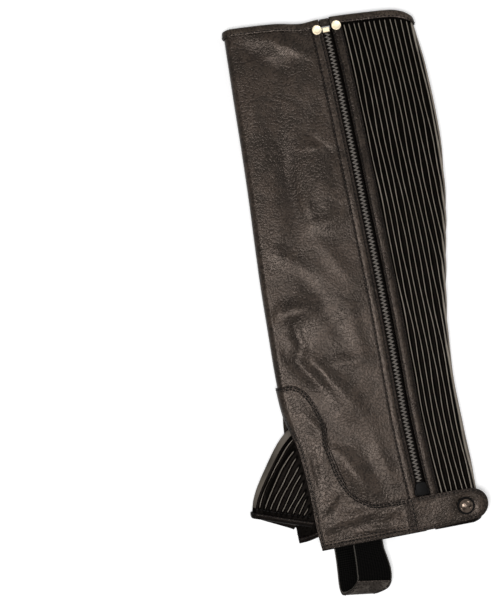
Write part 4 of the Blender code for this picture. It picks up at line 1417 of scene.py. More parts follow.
# ---- zip
@dataclass
class ZipFastening(Assembly):
    """Two facing strips, two tapes, the interlocked coil, and its slider, pull, box and cap."""

    facing_front: tuple[float, float] = (-13.0, -4.7)
    facing_rear: tuple[float, float] = (5.0, 13.6)
    facing_ends: tuple[float, float] = (-11.5, 418.8)
    stitch_inset: float = 1.3
    puff: float = 0.45
    tape_wall: float = 1.0
    tape_sides: tuple[float, float] = (0.15, 11.0)  # from the zip's middle; the front tape is mirrored
    tape_ends: tuple[float, float] = (-8.5, 417.0)
    coil_ends: tuple[float, float] = (-5.0, 413.0)
    coil_pitch: float = 3.2
    coil_half_width: float = 2.5
    loop_size: tuple[float, float, float] = (0.7, 1.15, 1.25)  # past its two ends, its width and its height
    wings: tuple[float, float] = (13.0, 6.6)  # width and length
    wing_heights: tuple[float, float] = (0.95, 0.4)  # over the slider's foot and under its top
    slider_corners: tuple[float, float] = (3.2, 2.4)
    cap_v: float = 422.6
    cap_size: tuple[float, float] = (8.0, 6.6)
    cap_swell: float = 0.25

    def strip(self, across: tuple[float, float], out: float, ends: tuple[float, float], columns: int,
              puff: float = 0.0) -> Skin:
        """A long strip beside the zip.

        Args:
            across: its sides, from the zip's middle.
            out: how far it lies over the wall's middle.
            ends: its lower and upper end.
            columns: steps across.
            puff: height of its swell between its two stitched rows.

        Returns:
            Its skin.
        """
        middle, half = sum(across) / 2, (across[1] - across[0]) / 2 - self.stitch_inset

        def at(q: Array, v: Array) -> Surface:
            """Points of the strip."""
            swollen = puff * np.clip(1 - ((q - middle) / half) ** 2, -0.4, 1)
            return self.leg.outer(ZIP(v) + q, v).lifted(out + swollen)

        return Skin(at, np.linspace(*across, columns + 1), np.linspace(*ends, 170), ALL_ROUND,
                    lambda q, v: {"across": q, "along": v})

    def coil(self, name: str, side: float, out: float) -> Object:
        """One row of the coil's loops, each leaning across the middle to hold the other row's.

        Args:
            name: name of the object.
            side: -1 for the front row and 1 for the rear one.
            out: height over the wall's middle.

        Returns:
            The object.
        """
        v = np.arange(self.coil_ends[0], self.coil_ends[1], self.coil_pitch)
        v = v + (self.coil_pitch / 2 if side > 0 else 0)
        reach, lean = self.coil_half_width, self.coil_pitch / 4
        outer_end = self.leg.outer(ZIP(v - lean) + side * reach, v - lean).lifted(out - 0.2)[0]
        inner_end = self.leg.outer(ZIP(v + lean) - side * reach * 0.75, v + lean).lifted(out + 0.15)[0]
        loop = bmesh.new()
        bmesh.ops.create_uvsphere(loop, u_segments=8, v_segments=6, radius=0.5)
        up, (past, thick, tall) = np.array([0.0, 0.0, 1.0]), self.loop_size
        places = [
            placed((start + end) / 2, end - start, up, np.array([np.linalg.norm(end - start) + past, thick, tall]))
            for start, end in zip(outer_end, inner_end)
        ]
        return repeated(name, loop, places)

    def slider(self) -> Object:
        """The slider's body between the facings, with the wider wings that ride over them.

        Returns:
            The object.
        """
        low, high = (Vector(corner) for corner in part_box("zip_slider"))
        middle, half = (low.x + high.x) / 2, self.wings[0] / 2 * MM
        wings_low = Vector((middle - half, low.y, low.z + self.wing_heights[0] * MM))
        wings_high = Vector((middle + half, low.y + self.wings[1] * MM, high.z - self.wing_heights[1] * MM))
        shape = bmesh.new()
        for lowest, highest, corner in zip((low, wings_low), (high, wings_high), self.slider_corners):
            verts = bmesh.ops.create_cube(shape, size=1.0)["verts"]
            bmesh.ops.scale(shape, vec=highest - lowest, verts=verts)
            bmesh.ops.translate(shape, vec=(lowest + highest) / 2, verts=verts)
            edges = {edge for vert in verts for edge in vert.link_edges}
            upright = [edge for edge in edges if abs(edge.verts[0].co.z - edge.verts[1].co.z) > 1e-5]
            bmesh.ops.bevel(shape, geom=upright, offset=corner * MM, segments=6, profile=0.5, affect="EDGES",
                            material=-1)
        obj = new_object("zip_slider_body", shape)
        soften(obj, 0.8, 3, 50)
        return obj

    def build(self) -> None:
        """Makes the strips, the coil and the fittings."""
        leg = self.leg
        front = self.strip(self.facing_front, leg.on_top, self.facing_ends, 12, self.puff)
        rear = self.strip(self.facing_rear, leg.on_top, self.facing_ends, 12, self.puff)
        for name, skin, hide in (("front", front, STRIP_HIDE), ("rear", rear, SHADED_HIDE)):
            obj = shell(f"zip_facing_{name}_hide", [skin], leg.trim, rounding=0.35)
            self.add(obj, hide, "ankle_leather", f"zip_facing_{name}")

        tape_out = -(leg.half + leg.gap + self.tape_wall / 2)
        near, far = self.tape_sides
        for name, across in (("front", (-far, -near)), ("rear", (near, far))):
            skin = self.strip(across, tape_out, self.tape_ends, 8)
            obj = shell(f"zip_tape_{name}_web", [skin], self.tape_wall, rounding=0)
            cut = Cut(10.9, 426, 1.0, Held.LAID, ("front_panel_hide",))
            self.add(obj, ZIP_TAPE, "zip_polyester", f"zip_tape_{name}", cut)

        coil_out = tape_out + self.tape_wall / 2 + leg.gap + 1.1
        for name, side in (("front", -1), ("rear", 1)):
            obj = self.coil(f"zip_coil_{name}_loops", side, coil_out)
            self.add(obj, COIL_NYLON, "zip_polyester", f"zip_coil_{name}")

        seams = seams_on((front, rear), SIDES, self.stitch_inset, 0.012, 0.992, leg.trim / 2)
        self.sew("zip_facing_stitches", seams, "ankle_leather")
        self.add(self.slider(), BLACK_ENAMEL, "black_enamel", "zip_slider")
        self.kept += [("zip_pull", BLACK_ENAMEL), ("zip_box", PALE_BRASS)]

        def cap_at(s: Array, t: Array) -> Surface:
            """Points of the cap over the zip's upper end."""
            u, v = ZIP(np.array(self.cap_v)) + s * self.cap_size[0], self.cap_v + t * self.cap_size[1]
            return leg.outer(u, v).lifted(leg.on_top + self.cap_swell * (1 - 4 * s**2))

        span = np.linspace(-0.5, 0.5, 9)
        cap = shell("zip_cap_hide", [Skin(cap_at, span, span, ALL_ROUND)], leg.trim)
        self.add(cap, STRIP_HIDE, "ankle_leather", "zip_top_cap")


# ---- calf
@dataclass
class StretchCalf(Assembly):
    """The calf panel of tucked nappa over elastic, and the strip over its seam underneath."""

    first_rib: float = 15.6
    pitch: float = 4.35
    height: float = 1.3
    ridge: float = 0.72
    sink: float = 0.7
    steps: tuple[float, ...] = (-1.6, -1.05, -0.65, -0.3, 0.0, 0.3, 0.65, 1.05, 1.6)
    wobble: float = 0.34
    row_count: int = 112
    strip_rows: tuple[float, float] = (1.5, 7.0)  # the rear strip's double rows, in from each edge

    def panel_skin(self) -> Skin:
        """The tucked panel's outer face.

        Returns:
            Its skin.
        """
        leg = self.leg
        widest = float(np.max(leg.calf_end(np.linspace(leg.hem_v, leg.knee_v, 60))))
        count = math.ceil((widest - self.first_rib) / self.pitch) + 1
        ribs = [self.first_rib + k * self.pitch + step for k in range(count) for step in self.steps]
        columns = np.array([leg.zip_gap, 6.0, 9.0, 12.0, *ribs])

        def ridge_share(q: Array) -> Array:
            """1 on a tuck's crest and 0 in a valley."""
            off = (q - self.first_rib + self.pitch / 2) % self.pitch - self.pitch / 2
            return np.exp(-((off / self.ridge) ** 2)) * (q > self.first_rib - self.pitch / 2)

        def wander(q: Array, v: Array) -> Array:
            """Sideways drift of a tuck along its length.

            Args:
                q: distance from the zip.
                v: level.

            Returns:
                The drift at each place.
            """
            rib = np.round((q - self.first_rib) / self.pitch)
            shared = np.sin(v / 19.0 + rib * 0.31) + 0.6 * np.sin(v / 8.3 + rib * 1.7)
            own = 0.8 * np.sin(v / 12.6 + rib * 2.9 + 0.7 * np.sin(rib * 5.1))
            return self.wobble * (shared + own) * ramp(q, self.first_rib - 2, self.first_rib + 1)

        def laid_out(q: Array, r: Array) -> tuple[Spots, Array, Array, Array]:
            """Spots, share of a full crest, level and how far tucked each place is.

            Args:
                q: distance from the zip.
                r: level on the plain tube.

            Returns:
                The four, at each place.
            """
            end = leg.calf_end(r)
            spots = leg.calf_from_zip(np.minimum(q, end), r)
            hem, knee = leg.hem(leg.calf_hem, spots), leg.knee(spots)
            v = leg.bent(r, hem, knee)
            end = leg.calf_end(v)
            fade = ramp(end - q, leg.overlap + 0.5, leg.overlap + 4)
            fade = fade * ramp(v, knee - leg.knee_band - 0.4, knee - leg.knee_band - 2.6)
            fade = fade * ramp(v, hem + leg.hem_band + 1.2, hem + leg.hem_band + 6)
            moved = np.minimum(q + wander(q, v) * fade, end)
            spots = leg.calf_from_zip(moved, v)
            near_snap = np.hypot(spots.u - SNAP_SPOT[0], v - SNAP_SPOT[1])
            fade = fade * np.where(spots.under == 0, ramp(near_snap, 7.0, 12.0), 1.0)
            return spots, fade * ridge_share(q), v, fade

        def at(q: Array, r: Array) -> Surface:
            """Points of the outer face: its tucks are uneven, and pulled flat over the calf fold.

            Args:
                q: distance from the zip.
                r: level on the plain tube.

            Returns:
                Points and outward directions.
            """
            spots, crest, v, fade = laid_out(q, r)
            rib = np.round((q - self.first_rib) / self.pitch)
            uneven = 0.88 + 0.12 * np.sin(v / 10.5 + rib * 2.3) * np.sin(v / 27 + rib * 0.9)
            pulled = uneven * (1 - 0.5 * inside(spots.under, 0.12, 0.7, 0.1))
            valley = self.sink * (fade - crest) * (q > self.first_rib - 2)
            return spots.lifted(leg.half + self.height * crest * pulled - valley)

        def marks(q: Array, r: Array) -> Marks:
            """Painted highlight on crests and painted shade in valleys, the shade less so where the fold pulls
            them flat.
            """
            spots, crest, _, _ = laid_out(q, r)
            return {"crest": np.clip(crest + inside(spots.under, 0.16, 0.8, 0.1) * 0.63, 0, 1)}

        rims = (Rim(Side.LEFT), Rim(Side.LOW), Rim(Side.HIGH))
        return Skin(at, columns, np.linspace(leg.hem_v, leg.knee_v, self.row_count), rims, marks)

    def strip_skin(self) -> Skin:
        """The strip over the rear seam, flat on the surface."""
        leg = self.leg

        def at(inset: Array, r: Array) -> Surface:
            """Points of the strip.

            Args:
                inset: distance in from the outline at the calf.
                r: level on the plain tube.

            Returns:
                Points and outward directions.
            """
            spots = leg.inner(REAR(r) - inset, r)
            low = HEM_INNER(spots.u) + leg.hem_band + 2 * leg.gap
            high = leg.knee(spots) - leg.knee_band - 2 * leg.gap
            v = leg.bent(r, low, high)
            return leg.inner(REAR(v) - inset, v).lifted(leg.on_top)

        return Skin(at, np.linspace(*leg.rear_strip, 15), np.linspace(leg.hem_v, leg.knee_v, 170), ALL_ROUND)

    def build(self) -> None:
        """Makes the panel and the strip."""
        leg = self.leg
        panel = shell("calf_tucked_nappa", [self.panel_skin()], 1.0, offset=-1.0, rounding=0)
        cut = Cut(107, 440, 0.86, Held.STRETCHED, ("rear_strip_hide",), ("zip_facing_rear_hide",))
        self.add(panel, TUCKED_HIDE, "tucked_leather", "stretch_panel", cut)
        strip = self.strip_skin()
        obj = shell("rear_strip_hide", [strip], leg.trim)
        cut = Cut(21, 418, 1.0, Held.LAID, ())
        self.add(obj, STRIP_HIDE, "ankle_leather", "rear_seam_strip", cut)
        top = leg.trim / 2 - 0.1
        seams = [Seam(strip, side, inset, 0.005, 0.995, top) for side in SIDES for inset in self.strip_rows]
        self.sew("rear_strip_stitches", seams, "ankle_leather")


# ---- bindings
@dataclass
class Bindings(Assembly):
    """Folded calfskin round the knee edge, and round the hem under the leg and behind the zip."""

    wall: float = 1.0
    gap: float = 0.45
    fullness: float = 0.25
    knee_clear: float = 4.6

    def section(self, depth: float, half_wall: float) -> tuple[Curve, Curve, int]:
        """Section of a binding, from its outer lip round the edge to its inner one.

        Args:
            depth: how far its lips reach in from the edge.
            half_wall: half the thickness of what it binds.

        Returns:
            Distance in from the edge and distance out of the wall's middle as curves of the row, and the last row.
        """
        out = half_wall + self.gap + self.wall / 2
        turn = self.leg.edge_turn - self.wall / 2
        lip = [(depth * (1 - k / 4), out + (self.fullness if k else 0.0)) for k in range(4)]
        nose = [(-turn * math.sin(angle), out * math.cos(angle)) for angle in np.linspace(0, math.pi, 9)]
        points = lip + nose + [(inward, -side) for inward, side in reversed(lip)]
        inward, side = curves(range(len(points)), points)
        return inward, side, len(points) - 1

    def skin(self, spots_at: Callable[[Array, Array], Spots], columns: Array, edge_of: Callable[[Spots], Array],
             depth: float, sign: float) -> Skin:
        """One stretch of a binding.

        Args:
            spots_at: places of the bound wall, by column and v.
            columns: its columns.
            edge_of: level of the bound edge at each place.
            depth: how far its lips reach in.
            sign: 1 at the knee and -1 at the hem.

        Returns:
            Its skin.
        """
        inward, side, last = self.section(depth, self.leg.half)

        def at(a: Array, k: Array) -> Surface:
            """Points of the binding.

            Args:
                a: column.
                k: row of its section.

            Returns:
                Points and outward directions.
            """
            v = np.full(np.broadcast(a, k).shape, self.leg.knee_v if sign > 0 else self.leg.hem_v)
            for _ in range(4):
                v = edge_of(spots_at(a, v)) - sign * inward(k)
            points, outward = spots_at(a, v).lifted(side(k))
            return points, outward * np.where(k <= last / 2, 1.0, -1.0)[..., None]

        return Skin(at, columns, np.arange(last + 1.0), (Rim(Side.LOW), Rim(Side.HIGH)))

    def build(self) -> None:
        """Makes both bindings and sews them."""
        leg = self.leg
        halves = [
            (lambda a, v: leg.outer_half(a, v, self.knee_clear), over_fold(8, 45)),
            (leg.inner_half, over_fold(8, 45)),
            (lambda a, v: leg.calf(a, v, self.knee_clear), np.linspace(0, 3, 82)),
        ]
        knee = [self.skin(spots, columns, leg.knee, leg.knee_band, 1) for spots, columns in halves]
        obj = shell("knee_binding_calfskin", knee, self.wall, rounding=0.2)
        cut = Cut(14.5, 325, 1.0, Held.FOLDED, ("front_panel_hide", "calf_tucked_nappa"))
        self.add(obj, BINDING_HIDE, "binding_leather", "top_binding", cut)

        hem_edge = partial(leg.hem, leg.calf_hem)
        hem_halves = [
            (leg.inner_half, np.linspace(0, 1, 46)),
            (lambda a, v: leg.calf(a, v, leg.zip_gap), np.linspace(0, 3, 62)),
        ]
        hem = [self.skin(spots, columns, hem_edge, leg.hem_band, -1) for spots, columns in hem_halves]
        obj = shell("hem_binding_calfskin", hem, self.wall, rounding=0.2)
        cut = Cut(10.9, 230, 1.0, Held.FOLDED, ("front_panel_hide", "calf_tucked_nappa"))
        self.add(obj, HEM_HIDE, "binding_leather", "hem_binding_rear", cut)
        top = self.wall / 2
        seams = seams_on(knee, ENDS, 1.3, 0.0, 1.0, top) + seams_on(hem, ENDS, 1.1, 0.0, 1.0, top)
        self.sew("binding_stitches", seams, "binding_leather")


# ---- instep gusset
@dataclass
class InstepGusset(Assembly):
    """The folded, tucked gusset in the slit at the instep, bound along its foot."""

    wall: float = 1.2
    tuck_in: float = 3.5
    apex_v: float = 92.0
    foot_v: float = 4.0
    corner: tuple[float, float] = (-124.4, 22.6)
    bow: float = 7.0
    pitch: float = 4.3
    height: float = 0.9
    ridge: float = 0.6
    foot_heights: tuple[float, float] = (8.2, 2.0)
    reach: float = 0.96
    bound: float = 0.92

    def seam(self, v: Array, side: int) -> Array:
        """Points of the seam under the slit's edge.

        Args:
            v: places along.
            side: 1 on the outer wall and -1 on the inner one.

        Returns:
            The points.
        """
        leg = self.leg
        inset = leg.half + leg.gap + self.wall / 2 + 0.2 + 2.4 * ramp(v, 78.0, self.apex_v)
        return leg.shin_from_line(np.full(np.shape(v), self.tuck_in), v, side < 0).lifted(-inset)[0]

    def ends(self, side: int) -> tuple[Array, Array]:
        """The seam's apex and foot on one side."""
        return self.seam(np.array(self.apex_v), side), self.seam(np.array(self.foot_v), side)

    def width(self, side: int) -> float:
        """Distance from the chord of the fold to the seam's foot.

        Args:
            side: 1 on the outer half and -1 on the inner one.

        Returns:
            The distance.
        """
        apex, foot = self.ends(1)[0], self.ends(side)[1]
        du, dv = self.corner[0] - apex[0], self.corner[1] - apex[1]
        return float(abs((foot[0] - apex[0]) * dv - (foot[1] - apex[1]) * du) / math.hypot(du, dv))

    def fold(self, t: Array) -> tuple[Array, Array]:
        """Radius and height of the middle of its fold, from the apex to the foot.

        Args:
            t: from the apex to the foot.

        Returns:
            Both at each place.
        """
        top = mix(self.ends(1)[0][2], self.foot_heights[0], t)
        low = mix(self.ends(-1)[0][2], self.foot_heights[1], t)
        return (top - low) / 2, (top + low) / 2

    def base(self, w: Array, t: Array, side: int) -> Array:
        """Middle of its wall.

        Args:
            w: distance from its fold.
            t: from the seam to the foot edge.
            side: 1 on the outer half and -1 on the inner one.

        Returns:
            The points.
        """
        width = self.width(side)
        radius, middle = self.fold(t)
        rolled = w < radius * math.pi / 2
        flat_reach = radius + w - radius * math.pi / 2
        share = np.where(rolled, radius * (1 - np.cos(np.minimum(w / radius, math.pi / 2))), flat_reach) / width
        start = self.seam(mix(self.apex_v, self.foot_v, share), side)
        apex_shift = self.ends(1)[0][0] - self.ends(side)[0][0]
        start_u = start[..., 0] + apex_shift * (1 - np.minimum(share, 1.0)) ** 6
        foot = self.ends(side)[1]
        end_u, end_v = mix(self.corner[0], foot[0], share), mix(self.corner[1], foot[1], share)
        du, dv = end_u - start_u, end_v - start[..., 1]
        bow = self.bow * (1 - share) ** 3 * (1 - np.abs(2 * t - 1) ** 3.5) / np.hypot(du, dv)
        u = mix(start_u, end_u, t) + bow * dv
        v = mix(start[..., 1], end_v, t) - bow * du
        beyond = np.maximum((share - radius / width) / (1 - radius / width), 0.0)
        seam_z = self.seam(mix(self.apex_v, self.foot_v, beyond), side)[..., 2]
        foot_z = self.foot_heights[0 if side > 0 else 1]
        fall = np.maximum(t * (1 - beyond), 0.0) ** mix(1.0, 2.5, ramp(beyond, 0.0, 0.3))
        turned = middle + side * radius * np.sin(np.minimum(w / radius, math.pi / 2))
        return np.stack([u, v, np.where(rolled, turned, mix(seam_z, foot_z, fall))], -1)

    def lifted(self, w: Array, t: Array, side: int, out: Array) -> Surface:
        """Points moved out of the gusset.

        Args:
            w: distance from its fold.
            t: from the seam to the foot edge.
            side: 1 on the outer half and -1 on the inner one.
            out: distance out.

        Returns:
            Points and outward directions.
        """
        step = 0.05
        here = self.base(w, t, side)
        across = self.base(w + step, t, side) - here
        across = np.where((w > 0)[..., None], across, np.array([0.0, 0.0, float(side)]))
        down = self.base(w, t + step / 10, side) - here
        outward = -unit(np.cross(across, down)) * side
        return here + outward * np.asarray(out)[..., None], outward

    def across(self, share: float, t: Array, side: int) -> Array:
        """Distance from the fold, over its roll, of a share of the width."""
        return share * self.width(side) + self.fold(t)[0] * (math.pi / 2 - 1)

    def rib_length(self, w: Array, side: int) -> Array:
        """Length of the tuck at a distance from the fold."""
        ends = self.base(w, w * 0, side)[..., :2] - self.base(w, w * 0 + 1, side)[..., :2]
        return np.linalg.norm(ends, axis=-1)

    def skin(self, side: int) -> Skin:
        """The outer or the inner half's outer face."""
        count = round(self.width(side) / self.pitch)

        def crest_of(s: Array, t: Array) -> tuple[Array, Array]:
            """Distance from the fold and share of a full crest.

            Args:
                s: from the fold to the far edge.
                t: from the seam to the foot edge.

            Returns:
                Both at each place.
            """
            w = s * self.across(self.reach, t, side)
            drift = 0.3 * np.sin(t * 9 + np.floor(s * count) * 2.1)
            off = ((s * count) % 1.0 - 0.5) * self.pitch  # from the nearest crest, in the widest row
            crest = np.exp(-(((off + drift) / self.ridge) ** 2))
            crest = crest * ramp(w, 5.0, 6.2) * ramp(s, 1.0, 0.9)
            crest = crest * ramp((1 - t) * self.rib_length(w, side), self.leg.hem_band + 0.6, 9.0)
            points = self.base(w, t, side)
            clear = self.leg.shin_fold(points[..., 1], inner=side < 0).u - points[..., 0]
            return w, crest * ramp(clear, 1.0, 5.0)

        def at(s: Array, t: Array) -> Surface:
            """Points of the outer face."""
            w, crest = crest_of(s, t)
            return self.lifted(w, t, side, self.wall / 2 + self.height * crest)

        def marks(s: Array, t: Array) -> Marks:
            """Painted highlight on crests and painted shade in valleys; its fold is plain, in a half tone between
            them.

            Args:
                s: from the fold to the far edge.
                t: from the seam to the foot edge.

            Returns:
                The marks.
            """
            w, crest = crest_of(s, t)
            fold = (0.77 + 0.03 * np.sin(t * 11)) * ramp(w, 4.6, 3.6)
            fold = fold * ramp((1 - t) * self.rib_length(w, side), 4.0, 7.0)
            return {"crest": np.clip(crest + fold, 0, 1)}

        return Skin(at, np.linspace(0, 1, count * 8 + 1), np.linspace(0, 1, 48), (Rim(Side.HIGH),), marks)

    def binding_skin(self, side: int, bindings: Bindings) -> Skin:
        """Half of the binding along its foot."""
        inward, out, last = bindings.section(self.leg.hem_band, self.wall / 2)

        def at(s: Array, k: Array) -> Surface:
            """Points of the binding.

            Args:
                s: from the fold to the far edge.
                k: row of its section.

            Returns:
                Points and outward directions.
            """
            w = s * self.across(self.reach, np.ones_like(s), side)
            points, outward = self.lifted(w, 1 - inward(k) / self.rib_length(w, side), side, out(k))
            return points, outward * np.where(k <= last / 2, 1.0, -1.0)[..., None]

        return Skin(at, np.linspace(0, self.bound, 46), np.arange(last + 1.0), (Rim(Side.LOW), Rim(Side.HIGH)))

    def build(self) -> None:
        """Makes the gusset and its binding."""
        halves = [self.skin(1), self.skin(-1)]
        gusset = shell("gusset_tucked_nappa", halves, 1.0, offset=-1.0, rounding=0)
        cut = Cut(94, 88, 0.6, Held.FOLDED, ("front_panel_hide",))
        self.add(gusset, GUSSET_HIDE, "tucked_leather", "instep_gusset", cut)
        bindings = Bindings(self.leg)
        skins = [self.binding_skin(side, bindings) for side in (1, -1)]
        obj = shell("gusset_binding_calfskin", skins, bindings.wall, rounding=0.2)
        cut = Cut(10.8, 95, 0.95, Held.FOLDED, ("gusset_tucked_nappa",))
        self.add(obj, HEM_HIDE, "binding_leather", "gusset_binding", cut)
        seams = seams_on(skins, (Side.LOW,), 0.9, 0.04, 0.96, 0.5)
        seams += seams_on(halves, (Side.HIGH,), 6.4, 0.06, 0.94, 0.0)
        self.sew("gusset_stitches", seams, "tucked_leather")


# ---- stirrup
class StrapRow(NamedTuple):
    """A row across the stirrup: where its two edges lie, and their height."""

    left_u: float
    left_v: float
    right_u: float
    right_v: float
    height: float


@dataclass
class Stirrup(Assembly):
    """The woven elastic that runs under the foot, its leather cover and the patch that holds its inner end."""

    width: float = 25.5
    length: float = 176.0
    elastic: float = 1.5
    cover: float = 1.0
    patch_wall: float = 1.1
    cover_rows: tuple[float, float] = (6.0, 12.0)
    route: tuple[StrapRow, ...] = tuple(StrapRow(*row) for row in (
        (-45.6, 13, -20.2, 13, 12.1),
        (-45.6, 0, -20.2, 0, 12.1),
        (-45.6, -13, -20.2, -13, 12.0),
        (-45.8, -23, -20.2, -24, 11.7),
        (-46.2, -32, -18.6, -34, 10.9),
        (-46.8, -40, -17.8, -43, 10.0),
        (-47.8, -47.5, -19.0, -52, 9.0),
        (-53.5, -53.6, -23.5, -58.2, 7.6),
        (-61.4, -56.4, -33.6, -60.2, 5.5),
        (-63.6, -54.0, -38.0, -57.2, 3.1),
        (-63.6, -47, -38.0, -49, 2.3),
        (-62.8, -38, -37.4, -39, 2.2),
        (-62.0, -25, -36.6, -25, 2.2),
        (-62.0, -10, -36.6, -10, 2.15),
        (-62.6, 4, -37.2, 4, 2.15),
        (-62.8, 25, -37.4, 25, 2.15),
    ))

    def base(self, s: Array, row: Array) -> Array:
        """Points across the strap at a row.

        Args:
            s: from left to right.
            row: place on its route, in rows.

        Returns:
            The points.
        """
        edges = StrapRow(*(curve(row) for curve in curves(range(len(self.route)), self.route)))
        u, v = mix(edges.left_u, edges.right_u, s), mix(edges.left_v, edges.right_v, s)
        return np.stack([u, v, edges.height], -1)

    def lifted(self, s: Array, row: Array, out: float) -> Surface:
        """The same, moved out of the loop, with the outward directions.

        Args:
            s: from left to right.
            row: place on its route, in rows.
            out: distance out.

        Returns:
            Points and outward directions.
        """
        step = 0.02
        across = self.base(s * 0 + 1, row) - self.base(s * 0, row)
        onward = self.base(s, row + step) - self.base(s, row - step)
        outward = -unit(np.cross(across, onward))
        return self.base(s, row) + outward * out, outward

    def build(self) -> None:
        """Makes the strap, its cover and its patch."""
        last = len(self.route) - 1
        over = self.elastic / 2 + self.leg.gap + self.cover / 2

        def patch_at(u: Array, v: Array) -> Surface:
            """Points of the patch, flat on the surface."""
            zero = u * 0
            return np.stack([u, v, zero + self.patch_wall / 2], -1), np.stack([zero, zero, zero - 1], -1)

        sides = (Rim(Side.LEFT), Rim(Side.RIGHT))
        strap = Skin(lambda s, row: self.lifted(s, np.clip(row, 0.02, last - 0.02), 0.0),
                     np.linspace(0, 1, 13), np.linspace(0, last, 110), sides,
                     lambda s, row: {"across": s * self.width, "along": row / last * self.length})
        obj = shell("stirrup_elastic_web", [strap], self.elastic, rounding=0.3)
        cut = Cut(self.width, self.length, 1.0, Held.FOLDED, ("front_panel_hide",))
        self.add(obj, ELASTIC_WEB, "black_elastic", "stirrup_elastic", cut)
        cover = Skin(lambda s, row: self.lifted(s, row, over), np.linspace(0, 1, 15),
                     np.linspace(*self.cover_rows, 50), ALL_ROUND)
        obj = shell("stirrup_cover_hide", [cover], self.cover, rounding=0.25)
        cut = Cut(self.width, 62, 1.0, Held.FOLDED, ("stirrup_elastic_web",))
        self.add(obj, SOLE_HIDE, "sole_leather", "stirrup_sole_cover", cut)
        left, right, low, high = self.leg.stirrup_patch
        patch = Skin(patch_at, np.linspace(left, right, 17), np.linspace(low, high, 17), ALL_ROUND)
        obj = shell("stirrup_patch_hide", [patch], self.patch_wall, rounding=0.25)
        cut = Cut(right - left, high - low, 1.0, Held.LAID, ())
        self.add(obj, PATCH_HIDE, "binding_leather", "stirrup_patch", cut)
        seams = seams_on([patch], list(Side), 2.0, 0.08, 0.92, self.patch_wall / 2 - 0.2)
        seams += seams_on([cover], SIDES, 1.6, 0.03, 0.97, self.cover / 2)
        self.sew("stirrup_stitches", seams, "binding_leather")


# ---- press stud and rivets
@dataclass
class Fastenings(Assembly):
    """The press stud on the tab and the two rivets at the zip's upper end.

    A profile gives shares of the radius, and heights, from the middle of the top round to the middle of the foot.
    """

    steps: int = 48
    cap_radius: float = 7.5
    dome_share: float = 0.8  # of the cap's radius
    dome_foot: float = 0.9
    dome_rise: float = 2.3
    rim_profile: tuple[tuple[float, float], ...] = (
        (0, 0.8), (0.8, 0.8), (0.84, 1.1), (0.91, 1.25), (0.98, 0.95), (1, 0.5), (0.99, 0.0), (0, 0),
    )
    rivet_radius: float = 4.15
    rivet_profile: tuple[tuple[float, float], ...] = (
        (0, 0.75), (0.45, 0.78), (0.66, 0.86), (0.76, 1.1), (0.84, 1.22), (0.93, 1.1), (1, 0.6), (0.98, 0.0),
        (0, 0),
    )

    def turned(self, name: str, profile: Sequence[tuple[float, float]], node: str) -> Object:
        """Turns a profile round the middle of the plain solid that it stands for.

        Args:
            name: name of the object.
            profile: (radius, height) from the top of its middle down its outer side.
            node: the plain solid, which gives the middle and the foot.

        Returns:
            The object.
        """
        low, high = (Vector(corner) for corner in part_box(node))
        foot = Vector(((low.x + high.x) / 2, (low.y + high.y) / 2, low.z))
        shape = bmesh.new()
        rail = [shape.verts.new(foot + Vector((radius, 0, height)) * MM) for radius, height in profile]
        edges = [shape.edges.new(pair) for pair in zip(rail, rail[1:])]
        bmesh.ops.spin(shape, geom=rail + edges, cent=foot, axis=(0, 0, 1), angle=2 * math.pi, steps=self.steps,
                       use_merge=True, use_duplicate=False)
        bmesh.ops.remove_doubles(shape, verts=shape.verts, dist=1e-6)
        bmesh.ops.recalc_face_normals(shape, faces=shape.faces)
        return new_object(name, shape)

    def build(self) -> None:
        """Makes the stud's cap and the rivets."""
        r = self.cap_radius
        turns = np.linspace(0, math.pi / 2, 16)
        dome = [(r * math.sin(turn) * self.dome_share, self.dome_foot + self.dome_rise * math.cos(turn))
                for turn in turns]
        cap = self.turned("snap_cap_dome", [*dome, (0, self.dome_foot)], "snap_cap")
        self.add(cap, GUNMETAL, "gunmetal", "snap_cap")
        ring = self.turned("snap_cap_rim", [(r * share, height) for share, height in self.rim_profile], "snap_cap")
        self.add(ring, BLACK_ENAMEL, "gunmetal")
        self.kept.append(("snap_socket", GUNMETAL))
        dish = [(self.rivet_radius * share, height) for share, height in self.rivet_profile]
        for end in ("front", "rear"):
            rivet = self.turned(f"rivet_{end}_disc", dish, f"top_rivet_{end}")
            self.add(rivet, PALE_BRASS, "pale_brass", f"top_rivet_{end}")


# ---- studio
def background_rays(tree: Tree) -> Socket:
    """1 for the rays that see the background: camera, glossy and transmission rays.

    Args:
        tree: the node tree.

    Returns:
        The output socket.
    """
    seen, *others = (add_node(tree, "LightPath", output=f"Is {kind} Ray")
                     for kind in ("Camera", "Glossy", "Transmission"))
    for ray in others:
        seen = add_node(tree, "Math", {0: seen, 1: ray}, operation="MAXIMUM")
    return seen


@dataclass(frozen=True)
class Softbox:
    """A square area light that faces the chap."""

    name: str
    bearing: float  # degrees, as its height is
    height: float
    size: float  # metres, as its distance is
    power: float
    distance: float = 1.7


